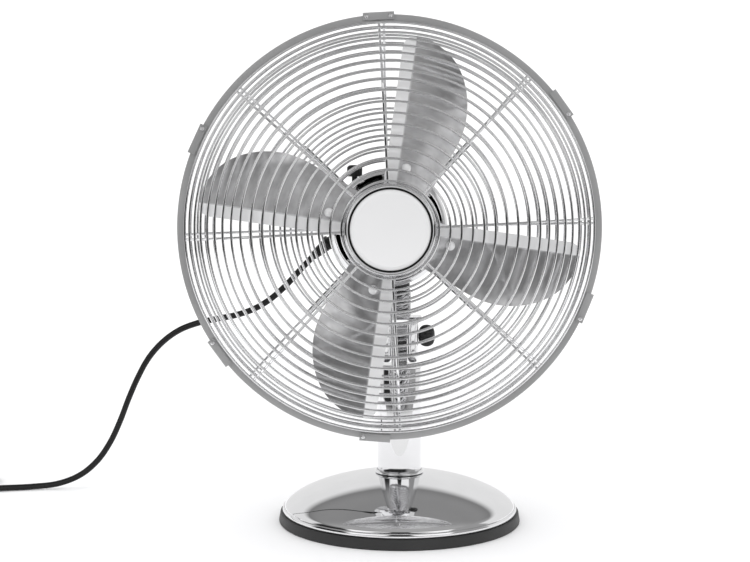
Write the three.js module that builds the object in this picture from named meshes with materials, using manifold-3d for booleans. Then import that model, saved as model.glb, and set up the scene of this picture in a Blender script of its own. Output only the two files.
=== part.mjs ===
// Oscillating desk fan: domed round base, column, tilting neck, motor head with a wire guard.
// Millimetres, +Z up. The origin is the middle of the base's underside, on the column's axis.
// The fan blows towards -Y; +X is to the right of someone who faces the badge.

import * as THREE from 'three';
import { mergeVertices } from 'three/addons/utils/BufferGeometryUtils.js';
import Module from 'manifold-3d';

const wasm = await Module();
wasm.setup();

// ---------------------------------------------------------------- driving dimensions

const GAP = 0.3; // running or assembly gap between neighbouring pieces

const BASE_RADIUS = 106.3;
const SKIRT_HEIGHT = 8.7; // black skirt that shows under the dome
const DOME_LIP_RADIUS = 103;
const DOME_TOP = 42;
const COLUMN_RADIUS = 19.3;
const COLUMN_TOP = 135;

const TILT_HEIGHT = 163; // axis of the tilt bolt
const TONGUE_HALF_WIDTH = 6.8;
const EAR_INNER = 7.2;
const EAR_OUTER = 16.3;
const BOLT_RADIUS = 2.8;
const BORE_RADIUS = 3.1; // clearance bore round the bolt and the pins
const NECK_TOP = 204; // top face of the neck post

const HEAD_HEIGHT = 258.2; // fan axis above the table
const HEAD_OFFSET = -9.8; // the fan axis runs beside the column's axis
const MOTOR_RADIUS = 50;
const MOTOR_FRONT = -37;
const MOTOR_REAR = 66;
const SHAFT_RADIUS = 4;

const GUARD_RADIUS = 171;
const GUARD_PLANE = -87; // joint between the two halves of the guard
const GUARD_BAND = 5.8; // radial width of the flat rim band
const GUARD_FRONT = -139; // flat middle of the front half
const GUARD_REAR = -40; // flat middle of the rear half
const GUARD_ROLL = 3; // degrees that the guard is turned on the motor
const SPOKES = 8;
const CLIP_ANGLES = [0, 62, 123, 173, 245, 303]; // degrees round the rim from the top
const CLIP_WIDTH = 25;

const BLADES = 4;
const BLADE_ROOT = 34;
const BLADE_TIP = 152;
const BLADE_THICKNESS = 1.2;
const BLADE_FOLD = -103; // plane of the flat trailing strip
const STRIP_WIDTH = 10;
const BLADE_ANGLE = 82; // fold line of the upper blade, degrees from +X

const CORD_DIAMETER = 5.8;
const COIL_MEAN_RADIUS = 34;

// ---------------------------------------------------------------- materials

const finish = (colour, roughness, metalness) =>
  () => new THREE.MeshStandardMaterial({ color: colour, roughness, metalness });

const chrome = finish(0xd8d9db, 0.08, 1);
const satinSteel = finish(0x9b9c9e, 0.35, 1);
const aluminium = finish(0xa9aaac, 0.4, 1);
const steel = finish(0x8d8f92, 0.3, 1);
const castIron = finish(0x3c3d3f, 0.7, 0.6);
const lamination = finish(0x5d5f63, 0.5, 0.8);
const copper = finish(0xb0703c, 0.35, 0.9);
const bronze = finish(0xa88a4d, 0.4, 0.9);
const blackPlastic = finish(0x1c1c1e, 0.5, 0);
const greyPlastic = finish(0xb9bab8, 0.5, 0);
const whiteNylon = finish(0xe4e2da, 0.45, 0);
const silverPlate = finish(0xd4d5d6, 0.3, 0.6);
const rubber = finish(0x202022, 0.85, 0);
const cordSheath = finish(0x232325, 0.6, 0);

// ---------------------------------------------------------------- geometry helpers

const radians = THREE.MathUtils.degToRad;

// A closed mesh as a solid that can be joined and cut.
function solid(geometry) {
  const bare = geometry.clone();
  bare.deleteAttribute('normal');
  bare.deleteAttribute('uv');
  const welded = mergeVertices(bare, 1e-4);
  const corners = welded.index.array;
  const kept = [];
  for (let i = 0; i < corners.length; i += 3) {
    const [a, b, c] = [corners[i], corners[i + 1], corners[i + 2]];
    if (a !== b && b !== c && c !== a) kept.push(a, b, c);
  }
  return new wasm.Manifold(new wasm.Mesh({
    numProp: 3,
    vertProperties: Float32Array.from(welded.attributes.position.array),
    triVerts: Uint32Array.from(kept),
  }));
}

function geometryOf(body) {
  const mesh = body.getMesh();
  const geometry = new THREE.BufferGeometry();
  geometry.setAttribute('position', new THREE.BufferAttribute(Float32Array.from(mesh.vertProperties), 3));
  geometry.setIndex(new THREE.BufferAttribute(Uint32Array.from(mesh.triVerts), 1));
  geometry.computeVertexNormals();
  return geometry;
}

const join = (first, ...others) => others.reduce((sum, other) => sum.add(other), first);
const cut = (first, ...others) => others.reduce((rest, other) => rest.subtract(other), first);

// A profile of [radius, height] points turned about an axis. 'y' is the fan's axis.
function turned(profile, segments = 24, axis = 'z') {
  let area = 0;
  profile.forEach(([r, h], i) => {
    const [nextR, nextH] = profile[(i + 1) % profile.length];
    area += r * nextH - nextR * h;
  });
  const ordered = area < 0 ? [...profile].reverse() : [...profile];
  const onAxis = ordered[0][0] === 0 && ordered[ordered.length - 1][0] === 0;
  if (!onAxis) ordered.push(ordered[0]);
  const geometry = new THREE.LatheGeometry(ordered.map(([r, h]) => new THREE.Vector2(r, h)), segments);
  if (axis === 'z') geometry.rotateX(Math.PI / 2);
  if (axis === 'x') geometry.rotateZ(-Math.PI / 2);
  return geometry;
}

const disc = (radius, from, to, segments = 24, axis = 'z') =>
  turned([[0, from], [radius, from], [radius, to], [0, to]], segments, axis);

const ring = (inner, outer, from, to, segments = 24, axis = 'z') =>
  turned([[inner, from], [outer, from], [outer, to], [inner, to]], segments, axis);

function box(xFrom, xTo, yFrom, yTo, zFrom, zTo) {
  const geometry = new THREE.BoxGeometry(xTo - xFrom, yTo - yFrom, zTo - zFrom);
  return geometry.translate((xFrom + xTo) / 2, (yFrom + yTo) / 2, (zFrom + zTo) / 2);
}

// An outline of [x, y] points with thickness: flat on XY, then stood up as asked.
function plate(points, depth, holes = []) {
  const shape = new THREE.Shape(points.map(([x, y]) => new THREE.Vector2(x, y)));
  shape.holes = holes.map((hole) => new THREE.Path(hole.map(([x, y]) => new THREE.Vector2(x, y))));
  return new THREE.ExtrudeGeometry(shape, { depth, bevelEnabled: false });
}

// Points on a circle arc, ends included, in degrees.
function arc(cx, cy, radius, from, to, steps) {
  return Array.from({ length: steps + 1 }, (_, i) => {
    const angle = radians(from + (to - from) * i / steps);
    return [cx + radius * Math.cos(angle), cy + radius * Math.sin(angle)];
  });
}

// Turns a shape drawn on XY with depth along Z so that it faces along X: XY becomes YZ.
const alongX = (geometry) => geometry.rotateX(Math.PI / 2).rotateZ(Math.PI / 2);
// The same, so that it faces along Y: XY becomes XZ and the depth runs to -Y.
const alongY = (geometry) => geometry.rotateX(Math.PI / 2);

const spun = (geometry, degrees) => geometry.rotateY(-radians(degrees));

function add(group, name, geometry, material) {
  const mesh = new THREE.Mesh(geometry, material());
  mesh.name = name;
  group.add(mesh);
  return mesh;
}

const fan = new THREE.Group();

// ---------------------------------------------------------------- base and column

// Height of the dome's outer face at a radius: a soft superellipse from the lip to the column.
const DOME_EDGE_RADIUS = 101.5;
const DOME_EDGE_HEIGHT = 13.5;
function domeHeight(radius) {
  const rise = (r) => Math.pow(1 - Math.pow(r / DOME_EDGE_RADIUS, 1.8), 1 / 1.5);
  return DOME_EDGE_HEIGHT + (DOME_TOP - DOME_EDGE_HEIGHT) * rise(radius) / rise(COLUMN_RADIUS);
}

const PAD_RADIUS = 8;
const PAD_CIRCLE = 84;
const PAD_HEIGHT = 2;
const PAD_COUNT = 3;
const padAngle = (i) => radians(-90 + 120 * i);

function baseTray() {
  const floorTop = 3.6;
  const tray = solid(turned([
    [0, 0], [BASE_RADIUS - 0.7, 0], [BASE_RADIUS, 0.9], [BASE_RADIUS - 1.3, SKIRT_HEIGHT],
    [98.5, SKIRT_HEIGHT], [97, floorTop], [0, floorTop],
  ], 32));
  const pockets = Array.from({ length: PAD_COUNT }, (_, i) =>
    solid(disc(PAD_RADIUS + GAP, -1, PAD_HEIGHT + GAP, 12)
      .translate(PAD_CIRCLE * Math.cos(padAngle(i)), PAD_CIRCLE * Math.sin(padAngle(i)), 0)));
  return geometryOf(cut(tray, ...pockets));
}

function baseDome() {
  const wall = 1.2;
  const lipBottom = SKIRT_HEIGHT + GAP;
  const rings = [1, 0.96, 0.88, 0.75, 0.58, 0.38];
  const outer = rings.map((part) => [DOME_EDGE_RADIUS * part, domeHeight(DOME_EDGE_RADIUS * part)]);
  const inner = [...rings].reverse().map((part) => [
    (DOME_EDGE_RADIUS - wall) * part, domeHeight(DOME_EDGE_RADIUS * part) - wall,
  ]);
  return turned([
    [DOME_LIP_RADIUS - 2.4, lipBottom], [DOME_LIP_RADIUS, lipBottom], [DOME_LIP_RADIUS + 0.3, 11],
    [DOME_LIP_RADIUS - 0.2, 12.9], ...outer, [COLUMN_RADIUS, DOME_TOP], [6, DOME_TOP],
    [6, DOME_TOP - wall], [COLUMN_RADIUS, DOME_TOP - wall], ...inner,
  ], 36);
}

const ROD_RADIUS = 3.9;
const ROD_BORE = ROD_RADIUS + GAP;
const NUT_BOTTOM = 6.2;
const NUT_TOP = 12.7;

function baseWeight() {
  const pillarTop = DOME_TOP - 1.2 - GAP;
  return turned([
    [16, 4], [78, 4], [80, 6], [80, 17], [75, 21], [22, 23], [17.5, 28], [17.5, pillarTop],
    [ROD_BORE, pillarTop], [ROD_BORE, NUT_TOP + GAP], [16, NUT_TOP + GAP],
  ], 20);
}

function tieNut() {
  const acrossCorners = 7.5;
  const hexagon = arc(0, 0, acrossCorners, 0, 300, 5);
  const bore = arc(0, 0, ROD_BORE, 330, 0, 11);
  return plate(hexagon, NUT_TOP - NUT_BOTTOM, [bore]).translate(0, 0, NUT_BOTTOM);
}

function columnHead() {
  const flangeTop = 137.4;
  const plugBottom = 112;
  const rodTop = 128;
  const tongueRadius = 12;
  const plug = solid(turned([
    [0, plugBottom], [17.5, plugBottom], [17.5, COLUMN_TOP + GAP],
    [COLUMN_RADIUS, COLUMN_TOP + GAP], [COLUMN_RADIUS, flangeTop - 0.6],
    [COLUMN_RADIUS - 0.8, flangeTop], [0, flangeTop],
  ], 24));
  const outline = [[-tongueRadius, flangeTop - 2], [tongueRadius, flangeTop - 2],
    ...arc(0, TILT_HEIGHT, tongueRadius, 0, 180, 8)];
  const tongue = solid(alongX(plate(outline, 2 * TONGUE_HALF_WIDTH)).translate(-TONGUE_HALF_WIDTH, 0, 0));
  const bore = solid(disc(BORE_RADIUS, -10, 10, 12, 'x').translate(0, 0, TILT_HEIGHT));
  const thread = solid(disc(ROD_BORE, plugBottom - 1, rodTop + 1, 12));
  return geometryOf(cut(join(plug, tongue), bore, thread));
}

function buildBase() {
  const base = new THREE.Group();
  const columnFoot = DOME_TOP + GAP;
  add(base, 'base_tray', baseTray(), blackPlastic);
  for (let i = 0; i < PAD_COUNT; i += 1) {
    const pad = add(base, `base_pad_${i + 1}`, disc(PAD_RADIUS, 0, PAD_HEIGHT, 12), rubber);
    pad.position.set(PAD_CIRCLE * Math.cos(padAngle(i)), PAD_CIRCLE * Math.sin(padAngle(i)), 0);
  }
  add(base, 'base_dome', baseDome(), chrome);
  add(base, 'base_weight', baseWeight(), castIron);
  add(base, 'tie_rod', disc(ROD_RADIUS, 4.6, 127, 12), steel);
  add(base, 'tie_nut', tieNut(), steel);
  add(base, 'column_tube', ring(COLUMN_RADIUS - 1.5, COLUMN_RADIUS, columnFoot, COLUMN_TOP, 32), chrome);
  add(base, 'column_collar',
    turned([[COLUMN_RADIUS + GAP, columnFoot], [21.6, columnFoot], [21.6, columnFoot + 1.4],
      [20.6, columnFoot + 2.6], [COLUMN_RADIUS + GAP, columnFoot + 2.6]], 28), chrome);
  add(base, 'column_head', columnHead(), chrome);
  return base;
}

// ---------------------------------------------------------------- neck (tilts on the column)

const EAR_TOP = 15;
const YOKE_TOP = 17.6; // above the tilt axis
const SPIGOT_RADIUS = 6;
const POST_HALF_WIDTH = 10;
const POST_HALF_DEPTH = 9;
const PIVOT_RADIUS = 4; // oscillation stud
const LINK_PIVOT = [-6, 15]; // fixed end of the oscillation link, from the column's axis
const LINK_TOP = 197 - TILT_HEIGHT;
const LINK_THICKNESS = 2;
const SCREW_X = 8.1;
const SCREW_HEIGHT = 197.4 - TILT_HEIGHT;

function neckYoke() {
  const crown = solid(box(-19.5, 19.5, -13, 13, EAR_TOP - 0.4, YOKE_TOP));
  const outline = [[11, EAR_TOP], ...arc(0, -14.6, 9.2, 0, -180, 6), [-11, EAR_TOP]].reverse();
  const ear = (from) =>
    solid(alongX(plate(outline, EAR_OUTER - EAR_INNER)).translate(from, 0, 0));
  const bore = solid(disc(BORE_RADIUS, -20, 20, 12, 'x'));
  const seat = solid(disc(SPIGOT_RADIUS + GAP, 10, 20, 16));
  return geometryOf(cut(join(crown, ear(EAR_INNER), ear(-EAR_OUTER)), bore, seat));
}

function neckPost() {
  const foot = YOKE_TOP + GAP;
  const top = NECK_TOP - TILT_HEIGHT;
  const corner = 3;
  const [w, d] = [POST_HALF_WIDTH - corner, POST_HALF_DEPTH - corner];
  const section = [...arc(w, d, corner, 0, 90, 2), ...arc(-w, d, corner, 90, 180, 2),
    ...arc(-w, -d, corner, 180, 270, 2), ...arc(w, -d, corner, 270, 360, 2)];
  const post = solid(plate(section, top - foot).translate(0, 0, foot));
  const spigot = solid(disc(SPIGOT_RADIUS, foot - 4, foot + 1, 16));
  const lugTop = LINK_TOP - LINK_THICKNESS - GAP;
  const lug = solid(disc(5, lugTop - 5, lugTop, 12).translate(...LINK_PIVOT, 0));
  const web = solid(box(LINK_PIVOT[0] - 3, LINK_PIVOT[0] + 3, 7, LINK_PIVOT[1] - 2,
    lugTop - 4.5, lugTop - 0.5));
  const pin = solid(disc(2, lugTop - 1, LINK_TOP + 1.4, 10).translate(...LINK_PIVOT, 0));
  const bore = solid(disc(PIVOT_RADIUS + GAP, foot - 6, top + 2, 16));
  const front = (x, z, radius) =>
    solid(disc(radius, -2, 4, 8, 'y').translate(x, -POST_HALF_DEPTH, z));
  const holes = [-1, 1].flatMap((side) => [
    front(side * SCREW_X, SCREW_HEIGHT, 1.1 + GAP), front(side * (SCREW_X + 0.2), 186 - TILT_HEIGHT, 1.2),
  ]);
  return geometryOf(cut(join(post, spigot, lug, web, pin), bore, ...holes));
}

// Round-headed screw along Y, head towards -Y, its seat at y = 0.
function roundScrew(headRadius, headHeight, shankRadius, shankLength) {
  return turned([[0, -headHeight], [headRadius * 0.7, -headHeight * 0.8], [headRadius, -0.15],
    [shankRadius, 0], [shankRadius, shankLength], [0, shankLength]], 10, 'y');
}

const KNOB_FROM = EAR_OUTER + 0.5;
const KNOB_TO = 31;

function tiltKnob() {
  const ribs = 12;
  const outline = Array.from({ length: ribs * 3 }, (_, i) => {
    const angle = 2 * Math.PI * i / (ribs * 3);
    const radius = i % 3 === 0 ? 8.7 : 9.5;
    return [radius * Math.cos(angle), radius * Math.sin(angle)];
  });
  const grip = solid(alongX(plate(outline, KNOB_TO - KNOB_FROM)).translate(KNOB_FROM, 0, 0));
  const rounding = solid(turned([[0, KNOB_FROM - 1], [11, KNOB_FROM - 1], [11, KNOB_TO - 3],
    [7.6, KNOB_TO], [0, KNOB_TO]], 16, 'x'));
  const bore = solid(disc(BORE_RADIUS, KNOB_FROM - 2, 29.5, 12, 'x'));
  return geometryOf(cut(grip.intersect(rounding), bore));
}

function oscillationLink() {
  const [fromX, fromY] = LINK_PIVOT;
  const [toX, toY] = [CRANK_PIN[0] - COLUMN_X, CRANK_PIN[1]];
  const length = Math.hypot(toX - fromX, toY - fromY);
  const half = 3.6;
  const outline = [...arc(0, 0, half, 90, 270, 8), ...arc(length, 0, half, -90, 90, 8)];
  const eye = arc(0, 0, 2 + GAP, 360, 30, 11);
  const far = arc(length, 0, 2 + GAP, 360, 30, 11);
  const bar = plate(outline, LINK_THICKNESS, [eye, far]);
  bar.rotateZ(Math.atan2(toY - fromY, toX - fromX));
  return bar.translate(fromX, fromY, LINK_TOP - LINK_THICKNESS);
}

function buildNeck() {
  const neck = new THREE.Group();
  neck.position.z = TILT_HEIGHT;
  add(neck, 'neck_yoke', neckYoke(), chrome);
  add(neck, 'neck_post', neckPost(), chrome);
  add(neck, 'tilt_bolt', turned([[0, -20.4], [3.4, -19.9], [5.6, -17.8], [5.6, -EAR_OUTER - GAP],
    [BOLT_RADIUS, -EAR_OUTER - GAP], [BOLT_RADIUS, 29], [0, 29]], 16, 'x'), chrome);
  add(neck, 'tilt_knob', tiltKnob(), blackPlastic);
  [['left', -1], ['right', 1]].forEach(([side, sign]) => {
    const screw = add(neck, `neck_screw_${side}`, roundScrew(1.9, 1.5, 1.1, 3.4), chrome);
    screw.position.set(sign * SCREW_X, -POST_HALF_DEPTH - GAP / 2, SCREW_HEIGHT);
  });
  add(neck, 'oscillation_link', oscillationLink(), steel);
  return neck;
}

// ---------------------------------------------------------------- motor head
// Drawn about the fan's axis: y = 0 is level with the column, -y is forwards.

const COLUMN_X = -HEAD_OFFSET; // the column's axis as the head sees it
const WHEEL_X = -19.7; // axis of the worm wheel and its crank
const WHEEL_Y = 33;
const CRANK_RADIUS = 9;
const CRANK_ANGLE = radians(210);
const CRANK_PIN = [
  WHEEL_X + CRANK_RADIUS * Math.cos(CRANK_ANGLE),
  WHEEL_Y + CRANK_RADIUS * Math.sin(CRANK_ANGLE),
];
const KNOB_X = -30; // oscillation knob
const CRANK_TOP = 202.5 - HEAD_HEIGHT;
const HOUSING_WALL = 1.5;
const REAR_SHELL_FRONT = -19.6;
const REAR_SHELL_SHOULDER = 40;
const GLAND_EXIT = new THREE.Vector3(-48.9, 30, -10.4);
const GLAND_DIRECTION = new THREE.Vector3(-0.72, 0.3, -0.62).normalize();
const GLAND_LENGTH = 26;

// Puts something drawn along +Z at a place on the head, looking along a direction.
function aimed(geometry, place, direction) {
  const turn = new THREE.Quaternion().setFromUnitVectors(new THREE.Vector3(0, 0, 1), direction);
  return geometry.applyQuaternion(turn).translate(place.x, place.y, place.z);
}

function motorFrontCover() {
  const shell = solid(turned([
    [9.4, MOTOR_FRONT], [24, MOTOR_FRONT], [24, MOTOR_FRONT - 9], [28.4, MOTOR_FRONT - 9],
    [28.4, MOTOR_FRONT], [47.5, MOTOR_FRONT], [MOTOR_RADIUS, MOTOR_FRONT + 2.5],
    [MOTOR_RADIUS, REAR_SHELL_FRONT - GAP], [MOTOR_RADIUS - HOUSING_WALL, REAR_SHELL_FRONT - GAP],
    [MOTOR_RADIUS - HOUSING_WALL, MOTOR_FRONT + 3], [47, MOTOR_FRONT + 2], [12.6, MOTOR_FRONT + 2],
    [12.6, MOTOR_FRONT + 7], [9.4, MOTOR_FRONT + 7],
  ], 24, 'y'));
  const slotCount = 8;
  const slot = (i) => {
    const middle = 22.5 + i * 360 / slotCount;
    const outline = [...arc(0, 0, 45.4, middle - 15, middle + 15, 2),
      ...arc(0, 0, 38.6, middle + 15, middle - 15, 2)];
    return solid(alongY(plate(outline, 6)).translate(0, MOTOR_FRONT + 4, 0));
  };
  return geometryOf(cut(shell, ...Array.from({ length: slotCount }, (_, i) => slot(i))));
}

// Radius of the rear shell at a distance y from the column, for an outer radius.
function shellRadius(y, radius, rear) {
  if (y <= REAR_SHELL_SHOULDER) return radius;
  const part = (y - REAR_SHELL_SHOULDER) / (rear - REAR_SHELL_SHOULDER);
  return radius * Math.pow(1 - Math.pow(part, 2.4), 1 / 2.4);
}

function motorRearCover() {
  const steps = [0, 0.35, 0.62, 0.82, 0.95];
  const skin = (radius, rear) => steps.map((part) => {
    const y = REAR_SHELL_SHOULDER + (rear - REAR_SHELL_SHOULDER) * part;
    return [shellRadius(y, radius, rear), y];
  });
  const inside = skin(MOTOR_RADIUS - HOUSING_WALL, MOTOR_REAR - HOUSING_WALL).reverse();
  const shell = solid(turned([
    [MOTOR_RADIUS, REAR_SHELL_FRONT], ...skin(MOTOR_RADIUS, MOTOR_REAR), [0, MOTOR_REAR],
    [0, MOTOR_REAR - HOUSING_WALL], ...inside, [MOTOR_RADIUS - HOUSING_WALL, REAR_SHELL_FRONT],
  ], 28, 'y'));
  const mountSlot = solid(disc(10, -60, -30, 16).translate(COLUMN_X, 0, 0));
  const crankHole = solid(disc(5, -60, -30, 12).translate(WHEEL_X, WHEEL_Y, 0));
  const knobHole = solid(disc(3.2, 20, 60, 12).translate(KNOB_X, WHEEL_Y, 0));
  const switchHole = solid(disc(4.2, MOTOR_REAR - 6, MOTOR_REAR + 4, 12, 'y'));
  const glandHole = solid(aimed(disc(5, -8, 8, 12), GLAND_EXIT, GLAND_DIRECTION));
  const vents = [60, 90, 120, 240, 270, 300].map((degrees) =>
    solid(spun(box(24, 36, MOTOR_REAR - 22, MOTOR_REAR + 2, -1.6, 1.6), degrees)));
  return geometryOf(cut(shell, mountSlot, crankHole, knobHole, switchHole, glandHole, ...vents));
}

function motorMount() {
  const boss = solid(disc(9, NECK_TOP - HEAD_HEIGHT + GAP, -40, 20).translate(COLUMN_X, 0, 0));
  const saddle = solid(box(-20, 22, -20, 14, -41, -37.3));
  const bore = solid(disc(PIVOT_RADIUS + GAP, -60, -39, 16).translate(COLUMN_X, 0, 0));
  return geometryOf(cut(join(boss, saddle), bore));
}

function gearboxHousing() {
  const outside = solid(box(-34.5, 9.8, 17.8, 48, -13, 13));
  const inside = solid(box(-33, 7.8, 19.6, 46.4, -14, 11));
  const bearingSeat = solid(disc(9 + GAP, 16, 21, 16, 'y'));
  return geometryOf(cut(outside, inside, bearingSeat));
}

function rotorShaft() {
  const core = 21.5;
  return turned([
    [0, -108], [SHAFT_RADIUS, -108], [SHAFT_RADIUS, -21.5], [core, -21.5],
    [core, 8], [SHAFT_RADIUS, 8], [SHAFT_RADIUS, 26], [6, 26.6], [6, 39.4], [SHAFT_RADIUS, 40],
    [SHAFT_RADIUS, 42], [0, 42],
  ], 20, 'y');
}

function wormWheel() {
  const teeth = 20;
  const outline = Array.from({ length: teeth * 2 }, (_, i) => {
    const angle = Math.PI * i / teeth;
    const radius = i % 2 ? 12 : 13;
    return [radius * Math.cos(angle), radius * Math.sin(angle)];
  });
  const rim = solid(plate(outline, 8).translate(0, 0, -4));
  const spindle = solid(disc(2.6, CRANK_TOP + GAP, 3, 12));
  return geometryOf(join(rim, spindle).translate([WHEEL_X, WHEEL_Y, 0]));
}

function crankDisc() {
  const plateBody = solid(disc(CRANK_RADIUS + 2.5, CRANK_TOP - 3, CRANK_TOP, 16)
    .translate(WHEEL_X, WHEEL_Y, 0));
  const pin = solid(disc(1.8, CRANK_TOP - 5, CRANK_TOP - 2, 8).translate(...CRANK_PIN, 0));
  return geometryOf(join(plateBody, pin));
}

function oscillationKnob() {
  const knob = turned([
    [0, 15], [2.6, 15], [2.6, 45.2], [6.9, 45.2], [6.9, 52.6], [5.6, 55], [0, 55.4],
  ], 16);
  return knob.translate(KNOB_X, WHEEL_Y, 0);
}

function speedKnob() {
  const from = MOTOR_REAR + 1.2;
  const body = solid(turned([[0, MOTOR_REAR - 8], [3.6, MOTOR_REAR - 8], [3.6, from], [12.5, from],
    [12.5, from + 1.6], [10.6, from + 3], [9.6, from + 12], [0, from + 12]], 20, 'y'));
  const grip = solid(box(-1.6, 1.6, from + 2, from + 13.2, -11.5, 11.5));
  return geometryOf(join(body, grip));
}

function cordGland() {
  const gland = turned([
    [CORD_DIAMETER / 2 + GAP, -5], [4.3, -5], [4.3, 5], [6.8, 5.2], [6.2, 8],
    [3.9, GLAND_LENGTH], [CORD_DIAMETER / 2 + GAP, GLAND_LENGTH],
  ], 12);
  return aimed(gland, GLAND_EXIT, GLAND_DIRECTION);
}

function buildMotor() {
  const motor = new THREE.Group();
  add(motor, 'pivot_stud', disc(PIVOT_RADIUS, 183 - HEAD_HEIGHT, -42, 16).translate(COLUMN_X, 0, 0), steel);
  add(motor, 'motor_mount', motorMount(), castIron);
  add(motor, 'motor_front_cover', motorFrontCover(), chrome);
  add(motor, 'motor_rear_cover', motorRearCover(), chrome);
  add(motor, 'stator_core', ring(22.2, 36, -21.5, 8, 20, 'y'), lamination);
  add(motor, 'winding_front', ring(24, 34, -30, -21.5 - GAP, 20, 'y'), copper);
  add(motor, 'winding_rear', ring(24, 34, 8 + GAP, 15.6, 20, 'y'), copper);
  add(motor, 'bearing_front', ring(SHAFT_RADIUS + GAP, 9.1, -36.4, -30.4, 12, 'y'), bronze);
  add(motor, 'bearing_rear', ring(SHAFT_RADIUS + GAP, 9, 16, 21, 12, 'y'), bronze);
  add(motor, 'gearbox_housing', gearboxHousing(), blackPlastic);
  add(motor, 'rotor_shaft', rotorShaft(), steel);
  add(motor, 'worm_wheel', wormWheel(), whiteNylon);
  add(motor, 'crank_disc', crankDisc(), steel);
  add(motor, 'oscillation_knob', oscillationKnob(), blackPlastic);
  add(motor, 'speed_switch', box(-11, 11, 50, MOTOR_REAR - 9, -8, 8), greyPlastic);
  add(motor, 'speed_knob', speedKnob(), blackPlastic);
  add(motor, 'cord_gland', cordGland(), blackPlastic);
  return motor;
}

// ---------------------------------------------------------------- guard

// The side view of one half of the guard: flat out to the shoulder, then a shoulder whose
// slope grows evenly until it reaches the rim. Returns [radius, y] at a distance along it.
const SHOULDER_SLOPES = [27, 61];
const SHOULDER_LENGTH = 76;
const SPOKE_END = GUARD_RADIUS - GUARD_BAND + 0.6; // welded to the inner edge of the rim band
const WIRE_STEP = 17.3; // every second ring wire of the guard, which keeps the solid light

const frontSide = { flat: 112, level: GUARD_FRONT, way: 1, first: 37.4, rings: 9, inner: 28 };
const rearSide = { flat: 114.5, level: GUARD_REAR, way: -1, first: 56.6, rings: 8, inner: 54 };

function guardPoint(side, distance) {
  if (distance <= side.flat) return [distance, side.level];
  const [from, to] = SHOULDER_SLOPES;
  const reach = (SPOKE_END - side.flat) / SHOULDER_REACH;
  const along = (distance - side.flat) / reach;
  const steps = 24;
  let [r, y] = [0, 0];
  for (let i = 0; i < steps; i += 1) {
    const slope = radians(from + (to - from) * (i + 0.5) / steps * along / SHOULDER_LENGTH);
    r += Math.cos(slope) * along / steps;
    y += Math.sin(slope) * along / steps;
  }
  const depthScale = (Math.abs(GUARD_PLANE - side.level) - 3) / SHOULDER_DEPTH;
  return [side.flat + r * reach, side.level + side.way * y * depthScale];
}

// Reach and depth of the whole shoulder at its natural size.
function shoulderSize() {
  const steps = 200;
  let [reach, depth] = [0, 0];
  for (let i = 0; i < steps; i += 1) {
    const [from, to] = SHOULDER_SLOPES;
    const slope = radians(from + (to - from) * (i + 0.5) / steps);
    reach += Math.cos(slope) * SHOULDER_LENGTH / steps;
    depth += Math.sin(slope) * SHOULDER_LENGTH / steps;
  }
  return [reach, depth];
}
const [SHOULDER_REACH, SHOULDER_DEPTH] = shoulderSize();

function guardHalf(side, wireRadius, spokeHalf) {
  const ringSegments = 20;
  const parts = [];
  for (let i = 0; i < side.rings; i += 1) {
    const [r, y] = guardPoint(side, side.first + WIRE_STEP * i);
    const section = [90, 210, 330].map((a) => [
      r + wireRadius * Math.cos(radians(a * side.way)), y + wireRadius * Math.sin(radians(a * side.way)),
    ]);
    parts.push(solid(turned(section, ringSegments, 'y')));
  }
  const end = side.flat + SHOULDER_LENGTH * (SPOKE_END - side.flat) / SHOULDER_REACH;
  const stops = [side.inner, side.flat, ...[0.3, 0.65, 1].map((p) => side.flat + (end - side.flat) * p)];
  const line = stops.map((distance) => guardPoint(side, distance));
  const depth = 2 * wireRadius * side.way;
  const outline = [...line, ...[...line].reverse().map(([r, y]) => [r, y + depth])];
  for (let i = 0; i < SPOKES; i += 1) {
    const bar = plate(side.way > 0 ? outline : [...outline].reverse(), 2 * spokeHalf);
    parts.push(solid(spun(bar.translate(0, 0, -spokeHalf), 360 * i / SPOKES)));
  }
  const bandFrom = GUARD_PLANE - side.way * (0.2 + 1.6);
  const bandTo = GUARD_PLANE - side.way * 0.2;
  parts.push(solid(ring(GUARD_RADIUS - GUARD_BAND, GUARD_RADIUS,
    Math.min(bandFrom, bandTo), Math.max(bandFrom, bandTo), 40, 'y')));
  return parts;
}

function frontGrille() {
  const plateRing = solid(ring(22, 34, GUARD_FRONT - 0.2, GUARD_FRONT + 1.4, 24, 'y'));
  return geometryOf(join(plateRing, ...guardHalf(frontSide, 1.1, 1.2)));
}

function rearGrille() {
  const mountRing = solid(ring(28.8, 36, GUARD_REAR, GUARD_REAR + 1.8, 24, 'y'));
  const straps = [45, 135, 225, 315].map((degrees) =>
    solid(spun(box(34, 99, GUARD_REAR - 0.1, GUARD_REAR + 1.7, -2.4, 2.4), degrees)));
  return geometryOf(join(mountRing, ...straps, ...guardHalf(rearSide, 1.1, 1.2)));
}

function grilleNut() {
  const lobes = 16;
  const outline = Array.from({ length: lobes * 2 }, (_, i) => {
    const angle = Math.PI * i / lobes;
    const radius = i % 2 ? 36.5 : 35.4;
    return [radius * Math.cos(angle), radius * Math.sin(angle)];
  });
  return alongY(plate(outline, 5, [arc(0, 0, 28.8, 345, 0, 23)])).translate(0, GUARD_REAR - GAP, 0);
}

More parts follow.
